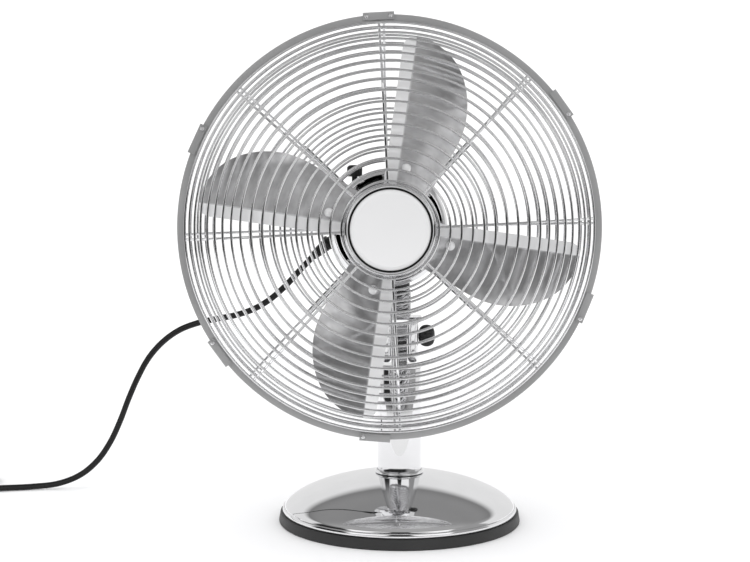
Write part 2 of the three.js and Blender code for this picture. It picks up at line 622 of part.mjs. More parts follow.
function guardClip(width, beadPlaces) {
  const [frontFace, rearFace] = [GUARD_PLANE - 1.8 - GAP, GUARD_PLANE + 1.8 + GAP];
  const inner = GUARD_RADIUS + 0.7;
  const outer = inner + 1.2;
  const lip = GUARD_RADIUS - GUARD_BAND + 1.4;
  const section = [[rearFace + 1.2, lip], [rearFace + 1.2, outer], [frontFace - 1.2, outer],
    [frontFace - 1.2, lip], [frontFace, lip], [frontFace, inner], [rearFace, inner], [rearFace, lip]];
  const channel = solid(alongX(plate(section, width)).translate(-width / 2, 0, 0));
  const bead = (x) => solid(new THREE.SphereGeometry(2, 8, 5).scale(1, 0.6, 1)
    .translate(x, frontFace - 1.2, GUARD_RADIUS - 1.2));
  return geometryOf(join(channel, ...beadPlaces.map(bead)));
}

function badgeRing() {
  const face = GUARD_FRONT - 0.2 - GAP;
  return turned([[31.2, face], [34.6, face], [35.8, face - 1.6], [35.8, face - 2.8], [34.4, face - 4.6],
    [32.6, face - 6.2], [31.2, face - 6.2]], 28, 'y');
}

function badgeDisc() {
  const face = GUARD_FRONT - 0.2 - GAP;
  return turned([[0, face], [30.8, face], [30.8, face - 5.2], [29.6, face - 6], [0, face - 6]], 28, 'y');
}

function buildGuard() {
  const guard = new THREE.Group();
  guard.rotation.y = -radians(GUARD_ROLL);
  add(guard, 'rear_grille', rearGrille(), chrome);
  add(guard, 'front_grille', frontGrille(), chrome);
  add(guard, 'grille_nut', grilleNut(), blackPlastic);
  CLIP_ANGLES.forEach((angle, i) => {
    const beadPlaces = i === 0 ? [-9.5, 9.5] : [9.5];
    const clip = add(guard, `guard_clip_${i + 1}`, guardClip(CLIP_WIDTH, beadPlaces), satinSteel);
    clip.rotation.y = -radians(angle);
  });
  add(guard, 'badge_ring', badgeRing(), chrome);
  add(guard, 'badge_disc', badgeDisc(), silverPlate);
  return guard;
}

// ---------------------------------------------------------------- blades

// Width of a blade beyond its fold, in degrees round the axis, at a radius.
const BLADE_WIDTHS = [[34, 48], [40, 42], [48, 39], [58, 35.5], [70, 33.2], [84, 31.6], [96, 29.6],
  [106, 27.4], [122, 22.6], [137, 16.6], [146, 11.2], [152, 5]];

function bladeWidth(radius) {
  const next = BLADE_WIDTHS.findIndex(([r]) => r >= radius);
  if (next <= 0) return BLADE_WIDTHS[0][1];
  const [[r0, w0], [r1, w1]] = [BLADE_WIDTHS[next - 1], BLADE_WIDTHS[next]];
  return w0 + (w1 - w0) * (radius - r0) / (r1 - r0);
}

// How far back the blade's face lies at an arc length from the fold: steep at the root.
function bladeRise(radius, length) {
  const pitch = radians(34 - 12 * (radius - BLADE_ROOT) / (BLADE_TIP - BLADE_ROOT));
  const camber = 0.0028;
  return Math.tan(pitch) * length - camber * length * length;
}

// One point of a blade's face. across runs from the strip's free edge (-1) over the fold (0)
// to the leading edge (1).
function bladePoint(radius, across) {
  const length = across < 0 ? across * STRIP_WIDTH : across * radians(bladeWidth(radius)) * radius;
  const turn = radians(BLADE_ANGLE) - length / radius;
  const y = BLADE_FOLD + (across < 0 ? 0 : bladeRise(radius, length));
  return new THREE.Vector3(radius * Math.cos(turn), y, radius * Math.sin(turn));
}

// A sheet between two radii and two places across the blade, shifted back by an offset.
function bladeSheet(rFrom, rTo, acrossStops, rows, thickness, offset) {
  const columns = acrossStops.length - 1;
  const geometry = new THREE.BoxGeometry(columns, rows, 1, columns, rows, 1);
  const place = geometry.attributes.position;
  for (let i = 0; i < place.count; i += 1) {
    const column = Math.round(place.getX(i) + columns / 2);
    const row = Math.round(place.getY(i) + rows / 2);
    const point = bladePoint(rFrom + (rTo - rFrom) * row / rows, acrossStops[column]);
    place.setXYZ(i, point.x, point.y + offset - place.getZ(i) * thickness, point.z);
  }
  return geometry;
}

const bladeTurn = (i) => -radians(90 * i);
const RIVET_RADIUS_AT = 50;
const RIVET_ACROSS = 0.19;
const ARM_OFFSET = BLADE_THICKNESS / 2 + GAP + 1.4;

function blade() {
  return bladeSheet(BLADE_ROOT, BLADE_TIP, [-1, 0, 0.25, 0.5, 0.75, 1], 9, BLADE_THICKNESS, 0);
}

function bladeHub() {
  const plateAt = BLADE_FOLD + 8;
  const boss = solid(turned([[SHAFT_RADIUS + GAP, -100], [9, -100], [9, plateAt - 1.4], [30, plateAt - 1.4],
    [30, plateAt + 1.4], [11, plateAt + 1.4], [11, plateAt + 14],
    [SHAFT_RADIUS + GAP, plateAt + 14]], 16, 'y'));
  const arms = Array.from({ length: BLADES }, (_, i) =>
    solid(bladeSheet(24, 57, [0.1, 0.3, 0.5], 3, 2.2, ARM_OFFSET).rotateY(bladeTurn(i))));
  return geometryOf(join(boss, ...arms));
}

function bladeRivet() {
  const seat = bladePoint(RIVET_RADIUS_AT, RIVET_ACROSS);
  const dome = turned([[0, -3.4], [1.6, -3.1], [2.8, -2], [3.2, -0.9], [3.2, -0.5], [0, -0.5]], 10, 'y');
  return dome.translate(seat.x, seat.y - 2.3, seat.z);
}

function buildRotor() {
  const rotor = new THREE.Group();
  for (let i = 0; i < BLADES; i += 1) {
    add(rotor, `blade_${i + 1}`, blade(), aluminium).rotation.y = bladeTurn(i);
    add(rotor, `blade_rivet_${i + 1}`, bladeRivet(), chrome).rotation.y = bladeTurn(i);
  }
  add(rotor, 'blade_hub', bladeHub(), satinSteel);
  add(rotor, 'blade_nut', turned([[SHAFT_RADIUS + GAP, -101], [15, -101], [15, -106], [11, -111],
    [SHAFT_RADIUS + GAP, -111]], 16, 'y'), blackPlastic);
  return rotor;
}

function buildHead() {
  const head = new THREE.Group();
  head.position.set(HEAD_OFFSET, 0, HEAD_HEIGHT);
  head.add(buildMotor(), buildGuard(), buildRotor());
  return head;
}

// ---------------------------------------------------------------- mains cord

const CORD_REST = CORD_DIAMETER / 2 + 0.4; // centre of a cord that lies on the table

// Route from the gland to the coil: it springs out, hangs to the table and runs left.
const CORD_ROUTE = [
  [-77.8, 38, 231.3], [-90, 43.5, 218.5], [-104, 50, 203.5], [-119, 57, 190.5],
  [-135, 64, 181], [-152, 70.5, 175], [-170, 77, 171], [-189, 83.5, 166.5],
  [-208, 90, 159], [-225, 96, 147], [-239.5, 101, 131], [-251, 105.5, 111.5],
  [-261, 109, 90], [-270, 112, 68], [-280.5, 114.5, 46.5], [-294, 116, 27.5],
  [-311, 116.5, 13.5], [-332, 115, 5.5], [-356, 111.5, CORD_REST], [-385, 104.8, CORD_REST],
  [-413, 99.6, CORD_REST],
];
const CORD_SPLIT = 0.32; // the stretch before it follows the head, the rest the neck
const CORD_JOIN = 0.0012; // half the slit between the two stretches

// The stretch of the route between two parts of its length.
function cordStretch(from, to, steps) {
  const points = CORD_ROUTE.map((point) => new THREE.Vector3(...point));
  const route = new THREE.CatmullRomCurve3(points, false, 'centripetal');
  const stops = Array.from({ length: steps + 1 }, (_, i) =>
    route.getPointAt(Math.min(1, from + (to - from) * i / steps)));
  const outline = arc(0, 0, CORD_DIAMETER / 2, 0, 315, 7).map(([x, y]) => new THREE.Vector2(x, y));
  const section = new THREE.Shape(outline);
  return new THREE.ExtrudeGeometry(section, {
    steps, extrudePath: new THREE.CatmullRomCurve3(stops), bevelEnabled: false,
  });
}

const COIL_CENTRE = [-436, 136];
const COIL_HEIGHT = 12.2; // two layers of turns, three abreast
const COIL_WIDTH = 11.6;
const PLUG_REACH = 68.6; // from the middle of the coil to the face that the pins stand on

function plugBody() {
  const body = solid(turned([[0, 0], [7.5, 0], [9, 1.5], [9, 14], [6.6, 24], [4.6, 34],
    [3.6, 38], [0, 38]], 20));
  const pins = [-9.5, 9.5].map((x) => solid(disc(2.4, -19, 0.5, 12).translate(x, 0, 0)));
  const wide = solid(box(-15, 15, -6.5, 6.5, 0, 11));
  return geometryOf(join(body, wide, ...pins));
}

function buildCord() {
  const cord = new THREE.Group();
  add(cord, 'cord_upper', cordStretch(0, CORD_SPLIT - CORD_JOIN, 11), cordSheath);
  add(cord, 'cord_lower', cordStretch(CORD_SPLIT + CORD_JOIN, 1, 24), cordSheath);
  const [inner, outer] = [COIL_MEAN_RADIUS - COIL_WIDTH / 2, COIL_MEAN_RADIUS + COIL_WIDTH / 2];
  const coil = add(cord, 'cord_coil', ring(inner, outer, 0.3, COIL_HEIGHT, 24), cordSheath);
  coil.position.set(...COIL_CENTRE, 0);
  const plug = add(cord, 'plug', plugBody(), cordSheath);
  plug.position.set(COIL_CENTRE[0] - COIL_MEAN_RADIUS, COIL_CENTRE[1] + PLUG_REACH, 9.4);
  plug.rotation.set(Math.PI / 2, 0, 0);
  return cord;
}

fan.add(buildBase(), buildNeck(), buildHead(), buildCord());

export default fan;
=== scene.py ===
import math

import bmesh
import bpy
from mathutils import Matrix, Vector


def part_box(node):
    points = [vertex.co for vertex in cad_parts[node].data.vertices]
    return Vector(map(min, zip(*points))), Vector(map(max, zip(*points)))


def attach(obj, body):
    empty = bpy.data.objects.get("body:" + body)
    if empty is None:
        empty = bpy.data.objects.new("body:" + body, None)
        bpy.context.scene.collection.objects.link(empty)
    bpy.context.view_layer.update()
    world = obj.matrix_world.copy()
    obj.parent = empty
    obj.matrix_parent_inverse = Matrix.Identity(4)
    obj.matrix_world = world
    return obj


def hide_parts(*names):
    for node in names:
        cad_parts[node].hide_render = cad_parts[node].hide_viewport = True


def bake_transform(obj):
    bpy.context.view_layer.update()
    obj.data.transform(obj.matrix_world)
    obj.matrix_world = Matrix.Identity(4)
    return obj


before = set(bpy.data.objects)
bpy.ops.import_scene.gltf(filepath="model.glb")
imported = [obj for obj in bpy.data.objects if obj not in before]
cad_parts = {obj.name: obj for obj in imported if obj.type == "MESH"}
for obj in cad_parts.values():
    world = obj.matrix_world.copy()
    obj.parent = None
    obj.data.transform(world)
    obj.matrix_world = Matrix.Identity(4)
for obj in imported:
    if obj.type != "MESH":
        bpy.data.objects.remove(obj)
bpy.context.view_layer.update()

# Looks of an oscillating desk fan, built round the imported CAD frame.
# Lengths are written in millimetres and turned into metres where a mesh is made.

MM = 0.001

# ---------------------------------------------------------------- sizes taken from the frame


def middle(node):
    low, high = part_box(node)
    return (low + high) / 2 / MM


def low_of(node):
    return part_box(node)[0] / MM


def high_of(node):
    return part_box(node)[1] / MM


HEAD = middle("rotor_shaft")  # the fan's axis runs along Y through this point
HEAD.y = 0
COLUMN_RADIUS = high_of("column_tube").x
COLUMN_TOP = high_of("column_tube").z
PIPE_WALL = 1.5
DOME_TOP = high_of("base_dome").z
TRAY_RADIUS = high_of("base_tray").x
TRAY_TOP = high_of("base_tray").z
TILT = Vector((0, 0, middle("tilt_bolt").z))
MOTOR_REAR = high_of("motor_rear_cover").y
MOTOR_FRONT = low_of("motor_front_cover").y + 9  # behind the neck that carries the guard
MOTOR_RADIUS = 50
MOTOR_WALL = 1.5
NECK_TOP = high_of("neck_post").z

# The guard and the blades follow the same formulas as the CAD model.
GUARD_RADIUS = 171
GUARD_PLANE = -87
GUARD_BAND = 5.8
GUARD_FRONT = -139
GUARD_REAR = -40
GUARD_ROLL = 3
SPOKE_END = GUARD_RADIUS - GUARD_BAND + 0.6
SHOULDER_SLOPES = (27, 61)
SHOULDER_LENGTH = 76

BLADES = 4
BLADE_FOLD = -103
BLADE_ROOT = 34
BLADE_TIP = 152
BLADE_THICKNESS = 1.2
BLADE_ANGLE = 82
STRIP_WIDTH = 10

CORD_DIAMETER = 5.8

# ---------------------------------------------------------------- materials


class Shader:
    """Node helper for one procedural material."""

    def __init__(self, name):
        self.material = bpy.data.materials.new(name)
        self.material.use_nodes = True
        self.nodes = self.material.node_tree.nodes
        self.links = self.material.node_tree.links
        self.shader = self.nodes["Principled BSDF"]

    def set(self, **values):
        for key, value in values.items():
            self.shader.inputs[key.replace("_", " ")].default_value = value
        return self

    def coordinates(self, scale=(1, 1, 1), kind="Object"):
        where = self.nodes.new("ShaderNodeTexCoord")
        stretch = self.nodes.new("ShaderNodeMapping")
        stretch.inputs["Scale"].default_value = scale
        self.links.new(where.outputs[kind], stretch.inputs["Vector"])
        return stretch.outputs["Vector"]

    def noise(self, vector, scale, detail=3.0, roughness=0.5):
        node = self.nodes.new("ShaderNodeTexNoise")
        node.inputs["Scale"].default_value = scale
        node.inputs["Detail"].default_value = detail
        node.inputs["Roughness"].default_value = roughness
        self.links.new(vector, node.inputs["Vector"])
        return node.outputs["Fac"]

    def bands(self, vector, scale, kind, direction, distortion=0.0):
        node = self.nodes.new("ShaderNodeTexWave")
        node.wave_type = kind
        if kind == "BANDS":
            node.bands_direction = direction
        else:
            node.rings_direction = direction
        node.inputs["Scale"].default_value = scale
        node.inputs["Distortion"].default_value = distortion
        self.links.new(vector, node.inputs["Vector"])
        return node.outputs["Fac"]

    def spread(self, value, low, high, start=0.3, end=0.7):
        """Maps a texture value from start..end onto low..high."""
        node = self.nodes.new("ShaderNodeMapRange")
        node.inputs["From Min"].default_value = start
        node.inputs["From Max"].default_value = end
        node.inputs["To Min"].default_value = low
        node.inputs["To Max"].default_value = high
        self.links.new(value, node.inputs["Value"])
        return node.outputs["Result"]

    def rough(self, value, low, high):
        self.links.new(self.spread(value, low, high), self.shader.inputs["Roughness"])
        return self

    def colour(self, value, first, second, start=0.3, end=0.7):
        ramp = self.nodes.new("ShaderNodeValToRGB")
        ramp.color_ramp.elements[0].position = start
        ramp.color_ramp.elements[0].color = (*first, 1)
        ramp.color_ramp.elements[1].position = end
        ramp.color_ramp.elements[1].color = (*second, 1)
        self.links.new(value, ramp.inputs["Fac"])
        self.links.new(ramp.outputs["Color"], self.shader.inputs["Base Color"])
        return self

    def blend_colour(self, part, second):
        """Mixes one more colour over the base colour, where part is 1."""
        before = self.shader.inputs["Base Color"].links[0].from_socket
        mix = self.nodes.new("ShaderNodeMixRGB")
        self.links.new(part, mix.inputs["Fac"])
        self.links.new(before, mix.inputs["Color1"])
        mix.inputs["Color2"].default_value = (*second, 1)
        self.links.new(mix.outputs["Color"], self.shader.inputs["Base Color"])
        return self

    def bump(self, value, strength, distance):
        node = self.nodes.new("ShaderNodeBump")
        node.inputs["Strength"].default_value = strength
        node.inputs["Distance"].default_value = distance
        self.links.new(value, node.inputs["Height"])
        previous = self.shader.inputs["Normal"].links
        if previous:
            self.links.new(previous[0].from_socket, node.inputs["Normal"])
        self.links.new(node.outputs["Normal"], self.shader.inputs["Normal"])
        return self


def grey(value):
    return (value, value, value * 1.01)


def chrome_material():
    chrome = Shader("bright_chrome").set(Metallic=1.0)
    smear = chrome.noise(chrome.coordinates(), 22, 4)
    chrome.colour(smear, grey(0.78), grey(0.85))
    chrome.rough(smear, 0.03, 0.06)
    return chrome.material


def wire_material():
    wire = Shader("guard_wire_chrome").set(Metallic=1.0)
    smear = wire.noise(wire.coordinates(), 60, 3)
    wire.colour(smear, grey(0.88), grey(0.95))
    wire.rough(smear, 0.02, 0.04)
    return wire.material


def satin_material():
    satin = Shader("satin_steel").set(Metallic=0.5)
    grain = satin.noise(satin.coordinates(), 900, 2)
    wash = satin.noise(satin.coordinates(), 14, 3)
    satin.colour(wash, grey(0.35), grey(0.42))
    satin.rough(grain, 0.38, 0.5)
    satin.bump(grain, 0.12, 0.0002)
    return satin.material


def blade_material():
    """Rolled aluminium with fine lines along the chord and cloudy stains.

    The map's second value is below 0 on the folded strip, which gets a painted highlight: a pale grey base
    colour and less metal, standing in for the light it catches.
    """
    sheet = Shader("brushed_blade_aluminium")
    lines = sheet.noise(sheet.coordinates((900, 22, 1), "UV"), 1.0, 3, 0.6)
    stains = sheet.noise(sheet.coordinates((16, 3, 1), "UV"), 1.0, 4, 0.6)
    across = sheet.nodes.new("ShaderNodeSeparateXYZ")
    sheet.links.new(sheet.coordinates(kind="UV"), across.inputs["Vector"])
    strip = sheet.spread(across.outputs["Y"], 1.0, 0.0, -0.03, 0.03)
    sheet.colour(stains, grey(0.4), grey(0.6), 0.3, 0.7)
    # painted highlight: the folded strip is painted pale grey and made less metallic, standing in for the
    # light it catches facing the front
    sheet.blend_colour(strip, grey(0.88))
    sheet.links.new(sheet.spread(strip, 0.68, 0.25, 0, 1), sheet.shader.inputs["Metallic"])
    sheet.rough(lines, 0.02, 0.05)
    sheet.bump(lines, 0.04, 0.0002)
    return sheet.material


def rivet_material():
    rivet = Shader("rivet_aluminium").set(Metallic=0.45)
    smear = rivet.noise(rivet.coordinates(), 90, 2)
    rivet.colour(smear, grey(0.9), grey(0.97))
    rivet.rough(smear, 0.2, 0.26)
    return rivet.material


def steel_material():
    steel = Shader("machined_steel").set(Metallic=1.0)
    turned_marks = steel.noise(steel.coordinates((1, 30, 1)), 120, 2)
    steel.colour(turned_marks, grey(0.42), grey(0.52))
    steel.rough(turned_marks, 0.22, 0.36)
    steel.bump(turned_marks, 0.1, 0.0002)
    return steel.material


def badge_material():
    plate = Shader("badge_silver_plate").set(Metallic=0.12)
    sweep = plate.noise(plate.coordinates(), 9, 3)
    grain = plate.noise(plate.coordinates((1, 1, 30)), 400, 2)
    plate.colour(sweep, grey(0.71), grey(0.76))
    plate.rough(grain, 0.3, 0.4)
    plate.bump(grain, 0.05, 0.0001)
    return plate.material


def iron_material():
    iron = Shader("cast_iron_skin").set(Metallic=0.7)
    sand = iron.noise(iron.coordinates(), 700, 4, 0.7)
    iron.colour(sand, grey(0.035), grey(0.09))
    iron.rough(sand, 0.5, 0.75)
    iron.bump(sand, 0.6, 0.0006)
    return iron.material


def lamination_material():
    stack = Shader("stator_laminations").set(Metallic=0.8)
    sheets = stack.bands(stack.coordinates(), 320, "BANDS", "Y")
    stack.colour(sheets, grey(0.06), grey(0.16), 0.2, 0.8)
    stack.rough(sheets, 0.35, 0.5)
    stack.bump(sheets, 0.5, 0.0004)
    return stack.material


def winding_material():
    copper = Shader("enamelled_copper").set(Metallic=0.9, Coat_Weight=0.6)
    strands = copper.bands(copper.coordinates(), 260, "RINGS", "Y", 1.5)
    copper.colour(strands, (0.16, 0.05, 0.015), (0.5, 0.2, 0.07), 0.2, 0.8)
    copper.rough(strands, 0.25, 0.4)
    copper.bump(strands, 0.8, 0.0005)
    return copper.material


def bronze_material():
    bronze = Shader("sintered_bronze").set(Metallic=0.9)
    pores = bronze.noise(bronze.coordinates(), 1500, 2)
    bronze.colour(pores, (0.24, 0.15, 0.05), (0.42, 0.29, 0.12))
    bronze.rough(pores, 0.3, 0.5)
    bronze.bump(pores, 0.25, 0.0002)
    return bronze.material


def plastic_material(name, dark, light, smooth, coarse, grain=1300, depth=0.25):
    """Moulded plastic with a fine spark-eroded texture."""
    plastic = Shader(name).set(Metallic=0.0, Specular_IOR_Level=0.3)
    texture = plastic.noise(plastic.coordinates(), grain, 2)
    cloud = plastic.noise(plastic.coordinates(), 18, 3)
    plastic.colour(cloud, dark, light)
    plastic.rough(texture, smooth, coarse)
    plastic.bump(texture, depth, 0.0002)
    return plastic.material


def band_material():
    """Woven nylon tape with ribs and a slight fuzz."""
    band = Shader("woven_nylon_band").set(Metallic=0.0, Sheen_Weight=0.3)
    weave = band.bands(band.coordinates(), 380, "BANDS", "X", 0.6)
    fuzz = band.noise(band.coordinates(), 900, 3)
    band.colour(fuzz, grey(0.03), grey(0.07))
    band.rough(fuzz, 0.7, 0.9)
    band.bump(weave, 0.6, 0.0003)
    return band.material


def floor_material():
    floor = Shader("pale_studio_floor").set(Metallic=0.0)
    cloud = floor.noise(floor.coordinates(), 1.5, 2)
    floor.colour(cloud, grey(0.9), grey(0.92))
    floor.rough(cloud, 0.7, 0.8)
    return floor.material


CHROME = chrome_material()
WIRE = wire_material()
SATIN = satin_material()
BLADE = blade_material()
RIVET = rivet_material()
STEEL = steel_material()
BADGE = badge_material()
IRON = iron_material()
LAMINATION = lamination_material()
WINDING = winding_material()
BRONZE = bronze_material()
KNOB = plastic_material("ribbed_knob_plastic", grey(0.02), grey(0.03), 0.22, 0.32)
BLACK = plastic_material("black_moulded_plastic", grey(0.006), grey(0.012), 0.3, 0.45)
SKIRT = plastic_material("black_base_plastic", grey(0.028), grey(0.036), 0.4, 0.55)
GREY = plastic_material("grey_moulded_plastic", grey(0.34), grey(0.4), 0.35, 0.5)
NYLON = plastic_material("white_nylon", (0.62, 0.6, 0.54), (0.7, 0.68, 0.62), 0.3, 0.42)
RUBBER = plastic_material("black_rubber", grey(0.01), grey(0.016), 0.6, 0.8, 800, 0.4)
SHEATH = plastic_material("black_cord_sheath", grey(0.006), grey(0.011), 0.25, 0.36, 500, 0.15)

# ---------------------------------------------------------------- mesh helpers

SMOOTH_ANGLE = 38  # edges sharper than this stay hard


def mesh_object(name, shape, material=None):
    """An object from points in millimetres and faces, with the faces turned outward."""
    points, faces = shape
    mesh = bpy.data.meshes.new(name)
    mesh.from_pydata([Vector(p) * MM for p in points], [], faces)
    if material:
        mesh.materials.append(material)
    outward = bmesh.new()
    outward.from_mesh(mesh)
    bmesh.ops.recalc_face_normals(outward, faces=outward.faces)
    outward.to_mesh(mesh)
    outward.free()
    made = bpy.data.objects.new(name, mesh)
    bpy.context.scene.collection.objects.link(made)
    return made


def smooth(mesh, angle):
    """Smooth shading, with edges sharper than the angle kept."""
    mesh.shade_smooth()
    mesh.set_sharp_from_angle(angle=math.radians(angle))


def piece(name, shape, material, body, smooth_angle=SMOOTH_ANGLE):
    """One named piece that rides on a body, or on none if no body is given."""
    made = mesh_object(name, shape, material)
    smooth(made.data, smooth_angle)
    if body:
        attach(made, body)
    return made


def softened(profile, size, steps=4):
    """A closed outline whose corners are rounded by curves that start size from each corner."""
    result = []
    count = len(profile)
    for i, corner in enumerate(profile):
        here = Vector(corner)
        before, after = Vector(profile[i - 1]), Vector(profile[(i + 1) % count])
        back, forth = before - here, after - here
        straight = back.length < 1e-6 or forth.length < 1e-6 or back.angle(forth, 0) > math.radians(160)
        if abs(here.x) < 1e-6 or straight:
            result.append((here.x, here.y))
            continue
        first = here + back.normalized() * min(size, back.length * 0.45)
        last = here + forth.normalized() * min(size, forth.length * 0.45)
        for step in range(steps + 1):
            t = step / steps
            point = first * (1 - t) ** 2 + here * 2 * t * (1 - t) + last * t ** 2
            result.append((point.x, point.y))
    return result


def lathe(profile, steps):
    """Points and faces of a closed (radius, height) outline turned round Z."""
    points, faces, rows = [], [], []
    for radius, height in profile:
        if radius < 1e-6:
            rows.append([len(points)] * steps)
            points.append((0, 0, height))
            continue
        rows.append(range(len(points), len(points) + steps))
        for s in range(steps):
            angle = 2 * math.pi * s / steps
            points.append((radius * math.cos(angle), radius * math.sin(angle), height))
    count = len(rows)
    for i in range(count):
        a, b = rows[i], rows[(i + 1) % count]
        if profile[i][0] < 1e-6 and profile[(i + 1) % count][0] < 1e-6:
            continue
        for s in range(steps):
            n = (s + 1) % steps
            face = list(dict.fromkeys([a[s], a[n], b[n], b[s]]))
            if len(face) > 2:
                faces.append(face)
    return points, faces


def prism(outline, depth):
    """Points and faces of an (x, y) outline with thickness along +Z."""
    count = len(outline)
    points = [(x, y, 0) for x, y in outline] + [(x, y, depth) for x, y in outline]
    faces = [list(range(count))[::-1], list(range(count, 2 * count))]
    for i in range(count):
        n = (i + 1) % count
        faces.append([i, n, count + n, count + i])
    return points, faces


def loft(rows, ring=False):
    """Skin over rows with the same number of points. It is capped at both ends, or closed into a ring."""
    count = len(rows[0])
    points = [point for row in rows for point in row]
    faces = []
    for r in range(len(rows) if ring else len(rows) - 1):
        a, b = r * count, (r + 1) % len(rows) * count
        for s in range(count):
            n = (s + 1) % count
            faces.append([a + s, a + n, b + n, b + s])
    if not ring:
        faces.append(list(range(count))[::-1])
        faces.append([(len(rows) - 1) * count + s for s in range(count)])
    return points, faces


def ribbed_wheel(rows, ribs, per_rib, depth, smooth_radius):
    """Wheel up Z from (height, radius) rows. Rows wider than smooth_radius have ribs."""
    size = ribs * per_rib
    rings = []
    for height, radius in rows:
        ring = []
        for s in range(size):
            angle = 2 * math.pi * s / size
            reach = radius + (depth * math.cos(ribs * angle) if radius > smooth_radius else 0)
            ring.append((reach * math.cos(angle), reach * math.sin(angle), height))
        rings.append(ring)
    return loft(rings)


def moved(shape, matrix):
    """The shape, placed by a matrix."""
    points, faces = shape
    return [matrix @ Vector(p) for p in points], faces


def joined(*shapes):
    """Several shapes as one."""
    points, faces = [], []
    for more_points, more_faces in shapes:
        start = len(points)
        points += list(more_points)
        faces += [[start + i for i in face] for face in more_faces]
    return points, faces


def at(x=0, y=0, z=0):
    return Matrix.Translation((x, y, z))


def turn(degrees, axis):
    return Matrix.Rotation(math.radians(degrees), 4, axis)


TO_Y = turn(-90, "X")  # a shape drawn up Z now runs along +Y
TO_X = turn(90, "Y")  # a shape drawn up Z now runs along +X
FACING_X = turn(90, "Z") @ turn(90, "X")  # an outline drawn in X and Y now stands in Y and Z
AT_HEAD = at(*HEAD)
GUARD_PLACE = AT_HEAD @ turn(-GUARD_ROLL, "Y")


def arc(cx, cy, radius, start, end, steps):
    """Points round a centre from one angle to another, in degrees."""
    found = []
    for i in range(steps + 1):
        angle = math.radians(start + (end - start) * i / steps)
        found.append((cx + radius * math.cos(angle), cy + radius * math.sin(angle)))
    return found


def rounded_plan(left, right, front, back, corner, steps=8):
    """Outline of a rectangle with round corners."""
    return [*arc(right - corner, back - corner, corner, 0, 90, steps),
            *arc(left + corner, back - corner, corner, 90, 180, steps),
            *arc(left + corner, front + corner, corner, 180, 270, steps),
            *arc(right - corner, front + corner, corner, 270, 360, steps)]


def along_y(profile, steps, place):
    """A lathe shape whose axis runs along +Y at a place."""
    return moved(lathe(profile, steps), place @ TO_Y)


def bevel(made, width, segments=3, angle=30):
    """A small rounded edge, as a modifier on a hard-edged piece."""
    edge = made.modifiers.new("soft_edges", "BEVEL")
    edge.width = width * MM
    edge.segments = segments
    edge.limit_method = "ANGLE"
    edge.angle_limit = math.radians(angle)
    edge.harden_normals = True
    return made


def sweep(path, section):
    """A (side, up) section carried along a path of points, with its side kept level. Ends are capped."""
    path = [Vector(p) for p in path]
    up = Vector((0, 0, 1))
    rows = []
    for i, here in enumerate(path):
        along = (path[min(i + 1, len(path) - 1)] - path[max(i - 1, 0)]).normalized()
        side = along.cross(up)
        if side.length < 1e-3:
            side = Vector((1, 0, 0))
        side.normalize()
        top = side.cross(along).normalized()
        rows.append([here + side * a + top * b for a, b in section])
    return loft(rows)


def cutter(shape):
    """A shape that carve() cuts away and removes."""
    return mesh_object("cutter", shape)


def hole(radius, low, high, place, steps=32):
    """A round cutter between two heights, placed by a matrix."""
    return cutter(moved(lathe([(0, low), (radius, low), (radius, high), (0, high)], steps), place))


def carve(made, tools):
    """Cuts shapes out of a piece and applies the result."""
    for tool in tools:
        cut = made.modifiers.new("pocket", "BOOLEAN")
        cut.operation = "DIFFERENCE"
        cut.solver = "EXACT"
        cut.object = tool
    bpy.context.view_layer.update()
    shape = made.evaluated_get(bpy.context.evaluated_depsgraph_get())
    mesh = bpy.data.meshes.new_from_object(shape)
    made.modifiers.clear()
    made.data = mesh
    smooth(mesh, SMOOTH_ANGLE)
    for tool in tools:
        bpy.data.objects.remove(tool)


def stands_for(made, *nodes):
    """Shows the piece in place of CAD nodes."""
    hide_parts(*nodes)
    return made


# ---------------------------------------------------------------- camera

CAMERA_PLACE = Vector((-21.5, -1084.8, 274.6))
CAMERA_DOWN = 3.35  # degrees below level
CAMERA_LENS = 59.4


def make_camera():
    """Camera of the main view."""
    data = bpy.data.cameras.new("camera")
    data.lens = CAMERA_LENS
    data.sensor_width = 36
    camera = bpy.data.objects.new("camera", data)
    camera.location = CAMERA_PLACE * MM
    camera.rotation_euler = (math.radians(90 - CAMERA_DOWN), 0, 0)
    bpy.context.scene.collection.objects.link(camera)
    bpy.context.scene.camera = camera


make_camera()

# ---------------------------------------------------------------- mains cord

CORD_REST = CORD_DIAMETER / 2 + 0.4
CORD_ROUTE = [
    (-77.8, 38, 231.3), (-90, 43.5, 218.5), (-104, 50, 203.5), (-119, 57, 190.5),
    (-135, 64, 181), (-152, 70.5, 175), (-170, 77, 171), (-189, 83.5, 166.5),
    (-208, 90, 159), (-225, 96, 147), (-239.5, 101, 131), (-251, 105.5, 111.5),
    (-261, 109, 90), (-270, 112, 68), (-280.5, 114.5, 46.5), (-294, 116, 27.5),
    (-311, 116.5, 13.5), (-332, 115, 5.5), (-356, 111.5, CORD_REST), (-385, 104.8, CORD_REST),
    (-413, 99.6, CORD_REST),
]
CORD_STEP = 3  # distance between two sections
CORD_SPLIT = 0.32  # part of the route that belongs to the piece at the head
COIL_CENTRE = Vector((-436, 136, 0))
COIL_RADIUS = 34
COIL_TURNS = 5.25
COIL_TURN_STEPS = 40
COIL_PITCH = 3.75  # turns lie side by side, wide sides together
COIL_LAYER = 5.7
# The offset from the mean radius and the layer at the start of each turn. The last pair holds to the end.
COIL_LANES = [(COIL_PITCH, 0), (0, 0), (-COIL_PITCH, 0), (-COIL_PITCH, 1), (0, 1)]
PLUG_END = Vector((-470, 166.6, 9.4))


def between(first, last, start, end, t):
    """A point on the line that passes first at t = start and last at t = end."""
    return first * ((end - t) / (end - start)) + last * ((t - start) / (end - start))


